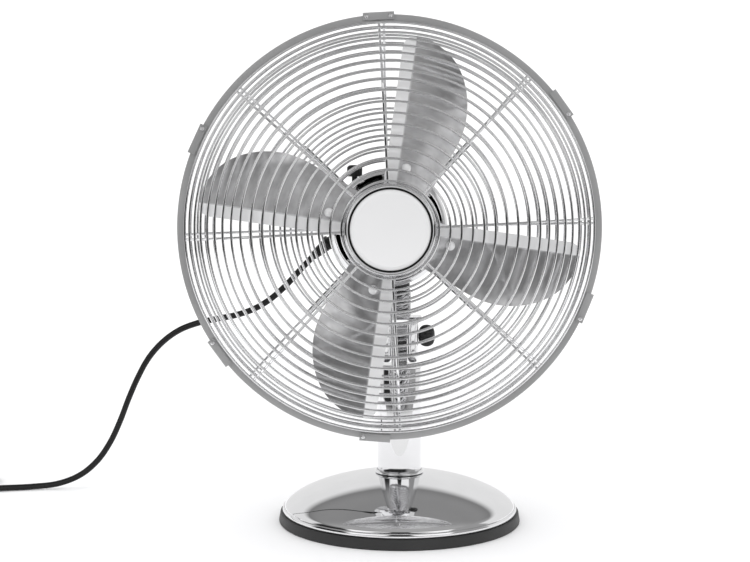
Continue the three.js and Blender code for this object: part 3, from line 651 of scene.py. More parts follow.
def smooth_route(points, spacing):
    """Centripetal Catmull-Rom curve through the points, resampled to an even spacing."""
    points = [Vector(p) for p in points]
    points = [points[0] * 2 - points[1], *points, points[-1] * 2 - points[-2]]
    dense = []
    for p0, p1, p2, p3 in zip(points, points[1:], points[2:], points[3:]):
        t0 = 0
        t1 = t0 + (p1 - p0).length ** 0.5
        t2 = t1 + (p2 - p1).length ** 0.5
        t3 = t2 + (p3 - p2).length ** 0.5
        for i in range(16):
            t = t1 + (t2 - t1) * i / 16
            a1 = between(p0, p1, t0, t1, t)
            a2 = between(p1, p2, t1, t2, t)
            a3 = between(p2, p3, t2, t3, t)
            b1 = between(a1, a2, t0, t2, t)
            b2 = between(a2, a3, t1, t3, t)
            dense.append(between(b1, b2, t1, t2, t))
    dense.append(points[-2])
    return even(dense, spacing)


def even(line, spacing):
    """The same line with points at an even spacing."""
    lengths = [0.0]
    for a, b in zip(line, line[1:]):
        lengths.append(lengths[-1] + (b - a).length)
    count = max(2, round(lengths[-1] / spacing))
    result, k = [], 0
    for i in range(count + 1):
        want = lengths[-1] * i / count
        while k < len(line) - 2 and lengths[k + 1] < want:
            k += 1
        part = (want - lengths[k]) / max(lengths[k + 1] - lengths[k], 1e-9)
        result.append(line[k].lerp(line[k + 1], min(part, 1)))
    return result


def coil_line():
    """Turns of a flat cord from where it comes in to where it leaves for the plug."""
    line = []
    last = len(COIL_LANES) - 1
    for i in range(round(COIL_TURNS * COIL_TURN_STEPS) + 1):
        done = i / COIL_TURN_STEPS
        lane = min(int(done), last)
        part = min(1, max(0, (done - lane - 0.55) / 0.4))  # it moves over late in each turn
        part = part * part * (3 - 2 * part)
        (offset, layer), (next_offset, next_layer) = COIL_LANES[lane], COIL_LANES[min(lane + 1, last)]
        radius = COIL_RADIUS + (offset * (1 - part) + next_offset * part)
        height = CORD_REST + COIL_LAYER * (layer * (1 - part) + next_layer * part)
        angle = math.radians(-90) - 2 * math.pi * done
        line.append(COIL_CENTRE + Vector((radius * math.cos(angle), radius * math.sin(angle), height)))
    return line


def cord_lines():
    """The stretch near the head, and all the rest up to the plug."""
    route = smooth_route(CORD_ROUTE, CORD_STEP)
    split = round(len(route) * CORD_SPLIT)
    coil = coil_line()
    tail = smooth_route([coil[-2], coil[-1], coil[-1].lerp(PLUG_END, 0.5), PLUG_END], CORD_STEP)
    return route[:split + 1], even(route[split:] + coil[1:] + tail[2:], CORD_STEP)


def flat_twin_section():
    """Two round lobes side by side: wide side up, a soft groove between them."""
    lobe = 1.72
    centre = CORD_DIAMETER / 2 - lobe
    right = [(x, y + centre) for x, y in arc(0, 0, lobe, -28, 208, 10)]
    left = [(x, y - centre) for x, y in arc(0, 0, lobe, 152, 388, 10)]
    return right + left


def cord_piece(name, line):
    return piece(name, sweep(line, flat_twin_section()), SHEATH, None, smooth_angle=60)


upper_line, lower_line = cord_lines()
cord_upper = cord_piece("cord_from_head", upper_line)
cord_lower = cord_piece("cord_to_plug", lower_line)
stands_for(cord_upper, "cord_upper")
stands_for(cord_lower, "cord_lower", "cord_coil")
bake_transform(cord_upper)
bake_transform(cord_lower)


def make_plug():
    """Two-pin plug: flat body with a waist, a ribbed strain relief, and pins with sleeves."""
    size = 24
    square = 0.72  # 1 gives an oval section and 0 a rectangle
    pin_place, pin_length, sleeve_length = 9.5, 19, 9.5
    rows = [
        # distance from the face, half width, half depth
        (0, 13.6, 5.4), (0.6, 14.6, 6.2), (3, 15, 6.5), (8, 14.9, 6.5), (11, 14, 6.4),
        (15, 11.4, 6.3), (19, 9.2, 6.2), (24, 7.6, 5.8), (28, 6.4, 5.2), (31, 5.4, 4.6),
    ]
    for k in range(4):
        start = 31.4 + k * 1.7
        narrow, wide = 3.4 - 0.12 * k, 4.3 - 0.22 * k
        rows += [(start, narrow, narrow), (start + 0.35, wide, wide), (start + 1.0, wide, wide),
                 (start + 1.35, narrow, narrow)]
    rings = []
    for distance, half_width, half_depth in rows:
        ring = []
        for s in range(size):
            angle = 2 * math.pi * s / size
            c, d = math.cos(angle), math.sin(angle)
            ring.append((half_width * math.copysign(abs(c) ** square, c),
                         half_depth * math.copysign(abs(d) ** square, d), distance))
        rings.append(ring)
    place = at(middle("plug").x, high_of("plug").y - pin_length, middle("plug").z) @ turn(90, "X")
    body = piece("plug_body", moved(loft(rings), place), BLACK, "root", smooth_angle=50)
    stands_for(body, "plug")
    sleeve = softened([(0, -sleeve_length), (2, -sleeve_length), (2, 0.4), (0, 0.4)], 0.2)
    tip = softened([(0, -pin_length), (2.4, -pin_length), (2.4, 0.2 - sleeve_length),
                    (0, 0.2 - sleeve_length)], 1.0)
    pins, sleeves = [], []
    for side in (-pin_place, pin_place):
        pins.append(moved(lathe(tip, 24), place @ at(side)))
        sleeves.append(moved(lathe(sleeve, 24), place @ at(side)))
    made_pins = piece("plug_pins", joined(*pins), STEEL, "root")
    made_sleeves = piece("plug_pin_sleeves", joined(*sleeves), BLACK, "root")
    return [body, made_pins, made_sleeves]


plug_pieces = make_plug()


def make_coil_tie():
    """Woven band round all the turns of the coil, with its end folded over on top."""
    half, low, top = 5.7, 0.38, 12.05  # inside of the band, round the turns
    width, thickness = 9, 0.62
    wide = half + thickness
    inner = softened([(-half, low), (half, low), (half, 6.2), (2.4, top), (-half, top)], 1.6)
    outer = softened([(-wide, low - 0.34), (wide, low - 0.34), (wide, 6.4),
                      (2.8, top + thickness), (-wide, top + thickness)], 2.0)
    loops = ((0, inner), (0, outer), (width, outer), (width, inner))
    band = loft([[(r, y, z) for r, z in outline] for y, outline in loops], ring=True)
    outline = softened([(-5, 0.7), (2.2, 0.7), (2.2, 8.3), (-5, 8.3)], 1.4)
    tab = moved(prism(outline, thickness), at(0, 0, top + thickness - 0.02))
    place = at(*COIL_CENTRE) @ turn(90, "Z") @ at(COIL_RADIUS, -width / 2)
    shape = moved(joined(band, tab), place)
    return piece("cord_coil_tie", shape, band_material(), "root")


coil_tie = make_coil_tie()

# ---------------------------------------------------------------- cord gland

GLAND_EXIT = Vector((-58.7, 30, 247.8))
GLAND_DIRECTION = Vector((-0.72, 0.3, -0.62)).normalized()
GLAND_LENGTH = 26
GLAND_PLACE = at(*GLAND_EXIT) @ GLAND_DIRECTION.to_track_quat("Z", "Y").to_matrix().to_4x4()


def make_gland():
    """Flange and a tapered, ribbed strain relief round the cord."""
    bore = CORD_DIAMETER / 2 + 0.25
    outer = [(4.3, -5), (4.3, 5), (6.8, 5.2), (6.7, 7.2), (5.9, 8)]
    ribs = 8
    for k in range(ribs):
        start = 8.2 + k * (GLAND_LENGTH - 8.4) / ribs
        wide = 5.7 - 1.8 * k / ribs
        narrow = wide - 0.75
        outer += [(narrow, start), (wide, start + 0.5), (wide, start + 1.2), (narrow, start + 1.7)]
    outer += [(3.7, GLAND_LENGTH)]
    profile = softened([(bore, -5), *outer, (bore, GLAND_LENGTH)], 0.25, 2)
    made = piece("cord_strain_relief", moved(lathe(profile, 40), GLAND_PLACE), BLACK, "head", smooth_angle=50)
    return stands_for(made, "cord_gland")


gland = make_gland()

# ---------------------------------------------------------------- base and column

DOME_EDGE_RADIUS = 101.5
DOME_EDGE_HEIGHT = 13.5
DOME_WALL = 1.2


def dome_rise(radius):
    """Height of a superellipse, from 0 at the dome's edge to 1 at its middle."""
    return (1 - (radius / DOME_EDGE_RADIUS) ** 1.8) ** (1 / 1.5)


def dome_height(radius):
    """Height of the dome's outside at a radius."""
    part = dome_rise(radius) / dome_rise(COLUMN_RADIUS)
    return DOME_EDGE_HEIGHT + (DOME_TOP - DOME_EDGE_HEIGHT) * part


def make_dome():
    """Pressed dome with a rolled lip."""
    steps = 56
    outer, inner = [], []
    for i in range(steps + 1):
        angle = math.pi / 2 * i / steps
        radius = COLUMN_RADIUS + (DOME_EDGE_RADIUS - COLUMN_RADIUS) * math.cos(angle)
        outer.append((radius, dome_height(min(radius, DOME_EDGE_RADIUS))))
        inner.append((radius * (1 - DOME_WALL / DOME_EDGE_RADIUS), outer[-1][1] - DOME_WALL))
    lip = softened([(100.6, 9.0), (103.0, 9.0), (103.3, 11.0), (102.8, 12.7), (101.8, 13.3)], 0.5, 4)
    profile = [*lip, *outer, (6, DOME_TOP), (6, DOME_TOP - DOME_WALL), *inner[::-1]]
    dome = piece("base_dome_shell", lathe(profile, 192), CHROME, "root", smooth_angle=50)
    return stands_for(dome, "base_dome")


PAD_COUNT = 3


def make_tray():
    """Black skirt and floor of the base, with pockets for the rubber pads."""
    profile = softened([
        (0, 0), (TRAY_RADIUS - 0.7, 0), (TRAY_RADIUS, 0.9), (TRAY_RADIUS - 1.3, TRAY_TOP),
        (98.5, TRAY_TOP), (97, 3.6), (0, 3.6),
    ], 0.7)
    tray = piece("base_skirt", lathe(profile, 192), SKIRT, "root")
    pockets = []
    for i in range(PAD_COUNT):
        pad = middle(f"base_pad_{i + 1}")
        depth = high_of(f"base_pad_{i + 1}").z + 0.3
        pockets.append(hole(8.3, -1, depth, at(pad.x, pad.y), 40))
    carve(tray, pockets)
    return stands_for(tray, "base_tray")


def make_pads():
    """Rubber pads with a shallow hollow underneath."""
    for i in range(PAD_COUNT):
        node = f"base_pad_{i + 1}"
        place, top = middle(node), high_of(node).z
        profile = softened([(0, 0.3), (4, 0.3), (5, 0), (8, 0), (8, top), (0, top)], 0.5)
        pad = piece(f"rubber_pad_{i + 1}", moved(lathe(profile, 40), at(place.x, place.y)), RUBBER, "root")
        stands_for(pad, node)


def make_column():
    """Pipe and the ring round its foot."""
    foot = low_of("column_tube").z
    bore = COLUMN_RADIUS - PIPE_WALL
    tube = softened([(bore, foot), (COLUMN_RADIUS, foot), (COLUMN_RADIUS, COLUMN_TOP),
                     (bore, COLUMN_TOP)], 0.3)
    stands_for(piece("column_pipe", lathe(tube, 128), CHROME, "root"), "column_tube")
    inner, edge = COLUMN_RADIUS + 0.25, high_of("column_collar").x
    collar = softened([(inner, foot), (edge, foot), (edge, foot + 1.4), (edge - 1, foot + 2.6),
                       (inner, foot + 2.6)], 0.45)
    stands_for(piece("column_foot_ring", lathe(collar, 128), CHROME, "root"), "column_collar")


def make_column_head():
    """Plug in the top of the column with the tongue that the yoke straddles."""
    low, rest, top = low_of("column_head").z, COLUMN_TOP + 0.3, COLUMN_TOP + 2.4
    profile = softened([(0, low), (17.5, low), (17.5, rest), (COLUMN_RADIUS, rest),
                        (COLUMN_RADIUS, top - 0.4), (COLUMN_RADIUS - 0.6, top), (0, top)], 0.5)
    half, ear = 6.8, 12  # half the tongue's thickness, and the radius of its round top
    outline = [(-ear, top - 0.1), (ear, top - 0.1), *arc(0, TILT.z, ear, 0, 180, 36)]
    tongue = moved(prism(outline, 2 * half), at(-half) @ FACING_X)
    made = piece("column_head_cap", lathe(profile, 96), CHROME, "root")
    made_tongue = piece("column_tongue", tongue, CHROME, "root")
    stands_for(made, "column_head")
    bevel(made_tongue, 0.8)


make_dome()
make_tray()
make_pads()
make_column()
make_column_head()

# ---------------------------------------------------------------- neck


def make_yoke():
    """Bracket with two rounded ears that clamp the tongue."""
    top, crown_height = 17.6, 3.0  # above the tilt axis
    shoulder = top - 2.6
    outline = [(-11, shoulder), *arc(0, -14.6, 9.2, 180, 360, 32), (11, shoulder)]
    for side, start in (("left", -16.3), ("right", 7.2)):
        ear = moved(prism(outline, 9.1), at(start, 0, TILT.z) @ FACING_X)
        bevel(piece(f"yoke_ear_{side}", ear, CHROME, "neck"), 3.4, 6)
    plan = rounded_plan(-19.5, 19.5, -13, 13, corner=4)
    crown = moved(prism(plan, crown_height), at(0, 0, TILT.z + top - crown_height))
    made = bevel(piece("yoke_crown", crown, CHROME, "neck"), 0.9)
    stands_for(made, "neck_yoke")


def make_post():
    """Post with the lug on its left that the oscillation link turns on."""
    bottom, lug_top = 180.9, 194.7
    plan = rounded_plan(-10, 10, -9, 9, corner=3)
    post = piece("neck_post_body", moved(prism(plan, NECK_TOP - bottom), at(0, 0, bottom)), CHROME, "neck")
    bevel(post, 0.8)
    stands_for(post, "neck_post")
    lug = softened([(0, lug_top - 5), (5, lug_top - 5), (5, lug_top), (2, lug_top), (2, lug_top + 3.4),
                    (0, lug_top + 3.4)], 0.4)
    piece("link_pivot_lug", moved(lathe(lug, 40), at(-6, 15)), CHROME, "neck")
    web = prism([(-9, 7), (-3, 7), (-3, 13), (-9, 13)], 4)
    bevel(piece("link_pivot_web", moved(web, at(0, 0, lug_top - 4.5)), CHROME, "neck"), 0.5)


def make_neck_screws():
    """Domed screws on the front of the post."""
    profile = softened([(0, 3.4), (1.1, 3.4), (1.1, 0), (1.9, 0), (1.8, -0.6), (1.3, -1.2), (0, -1.5)], 0.15)
    for side in ("left", "right"):
        node = f"neck_screw_{side}"
        place = middle(node)
        place.y = low_of(node).y + 1.5
        stands_for(piece(f"post_screw_{side}", along_y(profile, 32, at(*place)), CHROME, "neck"), node)


def make_tilt_bolt():
    """Bolt through the yoke and the tongue, with a round head at the left."""
    low, high = low_of("tilt_bolt").x, high_of("tilt_bolt").x
    profile = softened([(0, low), (3.0, low + 0.2), (5.2, low + 2.2), (5.6, low + 3.4),
                        (5.6, -16.6), (2.8, -16.6), (2.8, high), (0, high)], 0.5)
    bolt = piece("tilt_bolt_chromed", moved(lathe(profile, 48), at(*TILT) @ TO_X), CHROME, "neck")
    stands_for(bolt, "tilt_bolt")


def make_tilt_knob():
    """Ribbed clamping knob, rounded like a thick wheel."""
    low, high = low_of("tilt_knob").x, high_of("tilt_knob").x
    centre, half = (low + high) / 2, (high - low) / 2
    rim, hub = 80, 1.6  # the side view runs from -rim to rim degrees, above the hub's radius
    rows = []
    for i in range(21):
        angle = math.radians(-rim + rim / 10 * i)
        across = math.sin(angle) / math.sin(math.radians(rim))
        rows.append((centre + half * across, hub + 7.6 * math.cos(angle) ** 0.8))
    rows += [(high - 0.5, 1.2), (high - 0.6, 0.01)]
    shape = ribbed_wheel(rows, ribs=18, per_rib=8, depth=0.5, smooth_radius=5.6)
    knob = piece("tilt_knob_ribbed", moved(shape, at(*TILT) @ TO_X), KNOB, "tilt_clamp", smooth_angle=50)
    stands_for(knob, "tilt_knob")


make_yoke()
make_post()
make_neck_screws()
make_tilt_bolt()
make_tilt_knob()

# ---------------------------------------------------------------- guard


def shoulder_size():
    steps = 200
    reach = depth = 0
    first, last = SHOULDER_SLOPES
    for i in range(steps):
        slope = math.radians(first + (last - first) * (i + 0.5) / steps)
        reach += math.cos(slope) * SHOULDER_LENGTH / steps
        depth += math.sin(slope) * SHOULDER_LENGTH / steps
    return reach, depth


SHOULDER_REACH, SHOULDER_DEPTH = shoulder_size()
RIM_GAP = 3  # from the end of a spoke to the plane between the rims
WIRE_RADIUS = 1.0
SPOKE_RADIUS = 1.15
SPOKES = 8
WIRE_SECTION = (0, 324, 9)  # start, end and steps of a wire's ten-sided section


class GuardSide:
    """One half of the guard: how its side view runs from the flat middle to the rim.

    The middle is flat up to a distance along the side view, at a level on the axis, and the way
    to the rim is to the back (1) or to the front (-1). Rings start at first, one every step.
    Spokes start at inner.
    """

    def __init__(self, name, flat, level, way, first, step, rings, inner, roll):
        self.name, self.flat, self.level, self.way = name, flat, level, way
        self.first, self.step, self.rings, self.inner = first, step, rings, inner
        self.place = AT_HEAD @ turn(-roll, "Y")
        self.end = flat + SHOULDER_LENGTH * (SPOKE_END - flat) / SHOULDER_REACH

    def point(self, distance):
        """(radius, y) at a distance along the side view."""
        if distance <= self.flat:
            return distance, self.level
        reach = (SPOKE_END - self.flat) / SHOULDER_REACH
        along = (distance - self.flat) / reach
        first, last = SHOULDER_SLOPES
        steps = 24
        r = y = 0
        for i in range(steps):
            slope = math.radians(first + (last - first) * (i + 0.5) / steps * along / SHOULDER_LENGTH)
            r += math.cos(slope) * along / steps
            y += math.sin(slope) * along / steps
        depth_scale = (abs(GUARD_PLANE - self.level) - RIM_GAP) / SHOULDER_DEPTH
        return self.flat + r * reach, self.level + self.way * y * depth_scale


FRONT = GuardSide("front", flat=112, level=GUARD_FRONT, way=1, first=37.4, step=8.65, rings=18,
                  inner=28, roll=GUARD_ROLL)
REAR = GuardSide("rear", flat=114.5, level=GUARD_REAR, way=-1, first=56.6, step=8.75, rings=15,
                 inner=54, roll=GUARD_ROLL - 1.4)


def ring_wires(side):
    """All the ring wires of one half, as round bars bent into circles."""
    shapes = []
    for i in range(side.rings):
        radius, y = side.point(side.first + side.step * i)
        section = [(radius + a, y + b) for a, b in arc(0, 0, WIRE_RADIUS, *WIRE_SECTION)]
        shapes.append(along_y(section, 144, side.place))
    return joined(*shapes)


def spoke_wires(side):
    """Round spokes welded inside the rings."""
    shapes = []
    inset = side.way * (WIRE_RADIUS + SPOKE_RADIUS - 0.25)
    stops = [side.inner, side.inner + 20, side.flat - 6]
    stops += [side.flat + (side.end - side.flat) * k / 12 for k in range(13)]
    line = [side.point(distance) for distance in stops]
    section = arc(0, 0, SPOKE_RADIUS, *WIRE_SECTION)
    spoke = sweep([(r, y + inset, 0) for r, y in line], section)
    for i in range(SPOKES):
        shapes.append(moved(spoke, side.place @ turn(-360 * i / SPOKES, "Y")))
    return joined(*shapes)


def rim_band(side):
    """Flat rim of one half, with a rolled outer edge."""
    inner, outer = GUARD_RADIUS - GUARD_BAND, GUARD_RADIUS
    near, far = GUARD_PLANE - side.way * 0.2, GUARD_PLANE - side.way * 1.8
    profile = softened([(inner, near), (outer, near), (outer, far), (inner, far)], 0.6)
    return along_y(profile, 240, side.place)


def make_guard_half(side, node):
    rings = piece(f"{side.name}_guard_rings", ring_wires(side), WIRE, "head", smooth_angle=60)
    piece(f"{side.name}_guard_spokes", spoke_wires(side), WIRE, "head", smooth_angle=60)
    piece(f"{side.name}_guard_rim", rim_band(side), SATIN, "head")
    stands_for(rings, node)


def make_front_plate():
    """Washer that the front spokes are welded to, behind the badge."""
    front, back = GUARD_FRONT - 0.2, GUARD_FRONT + 1.4
    profile = softened([(22, front), (34, front), (34, back), (22, back)], 0.4)
    piece("front_guard_washer", along_y(profile, 96, FRONT.place), CHROME, "head")


def make_rear_plate():
    """Mounting ring of the rear half, with four flat straps along the diagonal spokes."""
    back = GUARD_REAR + 1.8
    profile = softened([(28.8, GUARD_REAR), (36, GUARD_REAR), (36, back), (28.8, back)], 0.4)
    piece("rear_guard_ring", along_y(profile, 96, REAR.place), CHROME, "head")
    half, thickness = 2.4, 1.6
    bar = prism([(35, -half), *arc(97, 0, half, -90, 90, 12), (35, half)], thickness)
    flat = turn(90, "X") @ at(0, 0, -thickness)
    straps = []
    for i in range(4):
        straps.append(moved(bar, REAR.place @ turn(-45 - 90 * i, "Y") @ at(0, GUARD_REAR, 0) @ flat))
    bevel(piece("rear_guard_straps", joined(*straps), CHROME, "head"), 0.35)


CLIP_ANGLES = (0, 62, 123, 173, 245, 303)  # round the rim from the top
CLIP_WIDTH = 25
CLIP_BEAD = 9.5  # from the middle of the clip to a bead


def make_clip(index):
    """Bent clip that holds the two rims together, with a bright bead at one end, or at both on top."""
    front, rear = GUARD_PLANE - 2.1, GUARD_PLANE + 2.1
    inner, sheet = GUARD_RADIUS + 0.7, 1.1
    outer = inner + sheet
    lip = GUARD_RADIUS - GUARD_BAND + 1.4
    section = softened([
        (rear + sheet, lip), (rear + sheet, outer), (front - sheet, outer), (front - sheet, lip),
        (front, lip), (front, inner), (rear, inner), (rear, lip)], 0.7, 3)
    place = FRONT.place @ turn(-CLIP_ANGLES[index], "Y")
    channel = moved(prism(section, CLIP_WIDTH), at(-CLIP_WIDTH / 2) @ FACING_X)
    clip = bevel(piece(f"rim_clip_{index + 1}", moved(channel, place), SATIN, "head"), 0.3, 2)
    stands_for(clip, f"guard_clip_{index + 1}")
    dome = lathe([(0, 0), *arc(0, 0, 2.0, 0, 90, 8)], 20)
    seat = at(0, front - 1.0, GUARD_RADIUS - 1.4) @ turn(90, "X")
    spots = (-CLIP_BEAD, CLIP_BEAD) if index == 0 else (CLIP_BEAD,)
    beads = [moved(dome, place @ at(x) @ seat) for x in spots]
    piece(f"rim_clip_ends_{index + 1}", joined(*beads), CHROME, "head")


def make_grille_nut():
    """Lobed plastic nut that holds the rear half to the motor."""
    lobes, per_lobe = 16, 8
    count = lobes * per_lobe
    outline = []
    for i in range(count):
        angle = 2 * math.pi * i / count
        radius = 36 + 0.55 * math.cos(lobes * angle)
        outline.append((radius * math.cos(angle), radius * math.sin(angle)))
    bore = arc(0, 0, 28.9, 0, 360, count)[:-1]
    back, front = high_of("grille_nut").y, low_of("grille_nut").y
    rows = [(1, back, outline), (1, front + 0.8, outline), (0.975, front, outline),
            (1, front, bore), (1, back, bore)]
    shape = loft([[(x * scale, y, z * scale) for x, z in ring] for scale, y, ring in rows], ring=True)
    nut = piece("guard_ring_nut", moved(shape, AT_HEAD), BLACK, "head")
    stands_for(nut, "grille_nut")


def make_badge():
    """Plain silver disc with a turned-down edge, a black ring in the gap as painted shade, and a chrome ring
    with a rounded lip.
    """
    face = GUARD_FRONT - 0.5
    ring = softened([(32.3, face), (34.9, face), (35.9, face - 1.4), (35.9, face - 2.6), (35.2, face - 4.8),
                     (33.8, face - 6.1), (32.3, face - 4.6)], 0.9, 6)
    stands_for(piece("badge_chrome_ring", along_y(ring, 128, GUARD_PLACE), CHROME, "head"), "badge_ring")
    disc = softened([(0, face), (30.9, face), (30.9, face - 3.9), (29.9, face - 5.0), (28.4, face - 5.6),
                     (28.1, face - 5.9), (0, face - 6.1)], 0.4, 4)
    stands_for(piece("badge_plain_disc", along_y(disc, 128, GUARD_PLACE), BADGE, "head"), "badge_disc")
    # painted shade: a black ring fills the narrow gap between the disc and the chrome ring, where the dark is
    # shade
    gap = softened([(30.8, face), (32.4, face), (32.4, face - 2.6), (30.8, face - 2.6)], 0.1, 2)
    piece("badge_gap_painted_shade", along_y(gap, 96, GUARD_PLACE), BLACK, "head")


make_guard_half(FRONT, "front_grille")
make_guard_half(REAR, "rear_grille")
make_front_plate()
make_rear_plate()
for clip_index in range(len(CLIP_ANGLES)):
    make_clip(clip_index)
make_grille_nut()
make_badge()

# ---------------------------------------------------------------- blades

BLADE_WIDTHS = [(34, 48), (40, 42), (48, 39), (58, 35.5), (70, 33.2), (84, 31.6), (96, 29.6),
                (106, 27.4), (122, 22.6), (137, 16.6), (146, 11.2), (152, 5)]


def blade_width(radius):
    """Angle that a blade covers beyond its fold, as a smooth curve through the widths."""
    table = BLADE_WIDTHS
    k = 0
    while k < len(table) - 2 and table[k + 1][0] < radius:
        k += 1

    def slope(i):
        first, last = max(i - 1, 0), min(i + 1, len(table) - 1)
        return (table[last][1] - table[first][1]) / (table[last][0] - table[first][0])

    (r0, w0), (r1, w1) = table[k], table[k + 1]
    span = r1 - r0
    t = (radius - r0) / span
    return ((2 * t ** 3 - 3 * t ** 2 + 1) * w0 + (t ** 3 - 2 * t ** 2 + t) * span * slope(k)
            + (3 * t ** 2 - 2 * t ** 3) * w1 + (t ** 3 - t ** 2) * span * slope(k + 1))


def blade_rise(radius, length):
    """How far back the blade lies at a length from its fold. Its pitch gets flatter outward."""
    pitch = math.radians(34 - 12 * (radius - BLADE_ROOT) / (BLADE_TIP - BLADE_ROOT))
    return math.tan(pitch) * length - 0.0028 * length * length


def blade_point(radius, across):
    """across runs from the strip's free edge (-1) over the fold (0) to the leading edge (1)."""
    if across < 0:
        narrowing = max(0.0, (radius - 143) / (BLADE_TIP - 143))
        length = across * STRIP_WIDTH * math.sqrt(max(0.0, 1 - narrowing ** 2 * 0.8))
    else:
        length = across * math.radians(blade_width(radius)) * radius
    angle = math.radians(BLADE_ANGLE) - length / radius
    y = BLADE_FOLD + (blade_rise(radius, length) if across >= 0 else 0)
    return Vector((radius * math.cos(angle), y, radius * math.sin(angle)))


def sheet_piece(name, radii, stops, thickness, offset, material, place):
    """A sheet over a grid of radii and places across the blade, offset along the axis from its middle."""
    rows, columns = len(radii), len(stops)
    points, faces, marks = [], [], []
    for side in (0, 1):
        for radius in radii:
            for across in stops:
                spot = blade_point(radius, across)
                points.append(place @ (spot + Vector((0, offset + (0.5 - side) * -thickness, 0))))
                marks.append((radius / 100, across))

    def corner(side, row, column):
        return side * rows * columns + row * columns + column

    for row in range(rows - 1):
        for column in range(columns - 1):
            for side in (0, 1):
                face = [corner(side, row, column), corner(side, row, column + 1),
                        corner(side, row + 1, column + 1), corner(side, row + 1, column)]
                faces.append(face if side else face[::-1])
    border = [(0, c) for c in range(columns)]
    border += [(r, columns - 1) for r in range(1, rows)]
    border += [(rows - 1, c) for c in range(columns - 2, -1, -1)]
    border += [(r, 0) for r in range(rows - 2, 0, -1)]
    for (r0, c0), (r1, c1) in zip(border, border[1:] + border[:1]):
        faces.append([corner(0, r0, c0), corner(0, r1, c1), corner(1, r1, c1), corner(1, r0, c0)])
    made = piece(name, (points, faces), material, "rotor", smooth_angle=14)
    layer = made.data.uv_layers.new(name="blade_grain")
    for loop in made.data.loops:
        layer.data[loop.index].uv = marks[loop.vertex_index]
    return made


def even_stops(first, last, count):
    return [first + (last - first) * i / (count - 1) for i in range(count)]


def make_blades():
    curl = 136  # the tip is rounded beyond this radius
    radii = even_stops(BLADE_ROOT, curl, 40)
    radii += [curl + (BLADE_TIP - curl) * math.sin(math.pi / 2 * i / 14) for i in range(1, 15)]
    stops = [-1, -0.94, -0.5, -0.06, 0, 0.03, *even_stops(0.08, 0.97, 18), 1]
    for i in range(BLADES):
        place = AT_HEAD @ turn(90 * i, "Y")
        blade = sheet_piece(f"fan_blade_{i + 1}", radii, stops, BLADE_THICKNESS, 0, BLADE, place)
        bevel(blade, 0.25, 2, 50)
        stands_for(blade, f"blade_{i + 1}")


def make_rivets():
    """Domed rivets that hold the blades to the arms."""
    seat = blade_point(50, 0.19) + Vector((0, -2.3, 0))
    profile = softened([(0, -3.9), (1.5, -3.6), (2.8, -2.7), (3.5, -1.5), (3.8, -0.4),
                        (3.8, 1.2), (0, 1.2)], 0.5, 3)
    for i in range(BLADES):
        rivet = along_y(profile, 32, AT_HEAD @ turn(90 * i, "Y") @ at(*seat))
        stands_for(piece(f"rivet_{i + 1}", rivet, RIVET, "rotor", smooth_angle=50), f"blade_rivet_{i + 1}")


def make_hub():
    """Boss, flange and four arms that the blades are riveted to, and the nut on the shaft."""
    plate = BLADE_FOLD + 8
    profile = softened([(4.3, -100), (9, -100), (9, plate - 1.4), (30, plate - 1.4), (30, plate + 1.4),
                        (11, plate + 1.4), (11, plate + 14), (4.3, plate + 14)], 0.6)
    hub = piece("rotor_hub", along_y(profile, 96, AT_HEAD), SATIN, "rotor")
    stands_for(hub, "blade_hub")
    offset = BLADE_THICKNESS / 2 + 1.7
    for i in range(BLADES):
        sheet_piece(f"rotor_arm_{i + 1}", even_stops(24, 57, 10), even_stops(0.1, 0.5, 8), 2.2, offset,
                    SATIN, AT_HEAD @ turn(90 * i, "Y"))
    nut = softened([(4.3, -101), (15, -101), (15, -106), (11, -111), (4.3, -111)], 1.0)
    stands_for(piece("rotor_nut", along_y(nut, 64, AT_HEAD), BLACK, "rotor"), "blade_nut")


make_blades()
make_rivets()
make_hub()

# ---------------------------------------------------------------- motor covers and controls

SLOTS_ROUND = 8
REAR_SHOULDER = 40  # the rear shell starts to round here


def make_front_cover():
    """Pressed front cover with eight curved slots and a raised neck for the guard nut."""
    front, edge = MOTOR_FRONT, high_of("motor_front_cover").y
    inside = MOTOR_RADIUS - MOTOR_WALL
    profile = softened([
        (9.4, front), (24, front), (24, front - 9), (28.4, front - 9), (28.4, front), (46, front),
        (MOTOR_RADIUS, front + 4), (MOTOR_RADIUS, edge), (inside, edge), (inside, front + 5),
        (45.5, front + 2), (12.6, front + 2), (12.6, front + 7), (9.4, front + 7),
    ], 1.2, 5)
    cover = piece("motor_front_shell", along_y(profile, 128, AT_HEAD), CHROME, "head")
    slots = []
    for i in range(SLOTS_ROUND):
        start = 360 * (i + 0.5) / SLOTS_ROUND - 15
        outline = [*arc(0, 0, 45.4, start, start + 30, 14), *arc(0, 0, 38.6, start + 30, start, 14)]
        slots.append(cutter(moved(prism(outline, 8), AT_HEAD @ turn(90, "X") @ at(0, 0, -front - 5))))
    carve(cover, slots)
    stands_for(cover, "motor_front_cover")


def shell_radius(y, radius, rear):
    """Radius of one face of the rear shell at a place along the axis. The face ends at rear."""
    if y <= REAR_SHOULDER:
        return radius
    part = (y - REAR_SHOULDER) / (rear - REAR_SHOULDER)
    return radius * max(0.0, 1 - part ** 2.4) ** (1 / 2.4)


def rear_skin(radius, rear):
    """Side view of one face of the rear shell, from its shoulder to its middle."""
    steps = 24
    found = []
    for i in range(steps + 1):
        y = REAR_SHOULDER + (rear - REAR_SHOULDER) * math.sin(math.pi / 2 * i / steps)
        found.append((shell_radius(y, radius, rear), y))
    return found


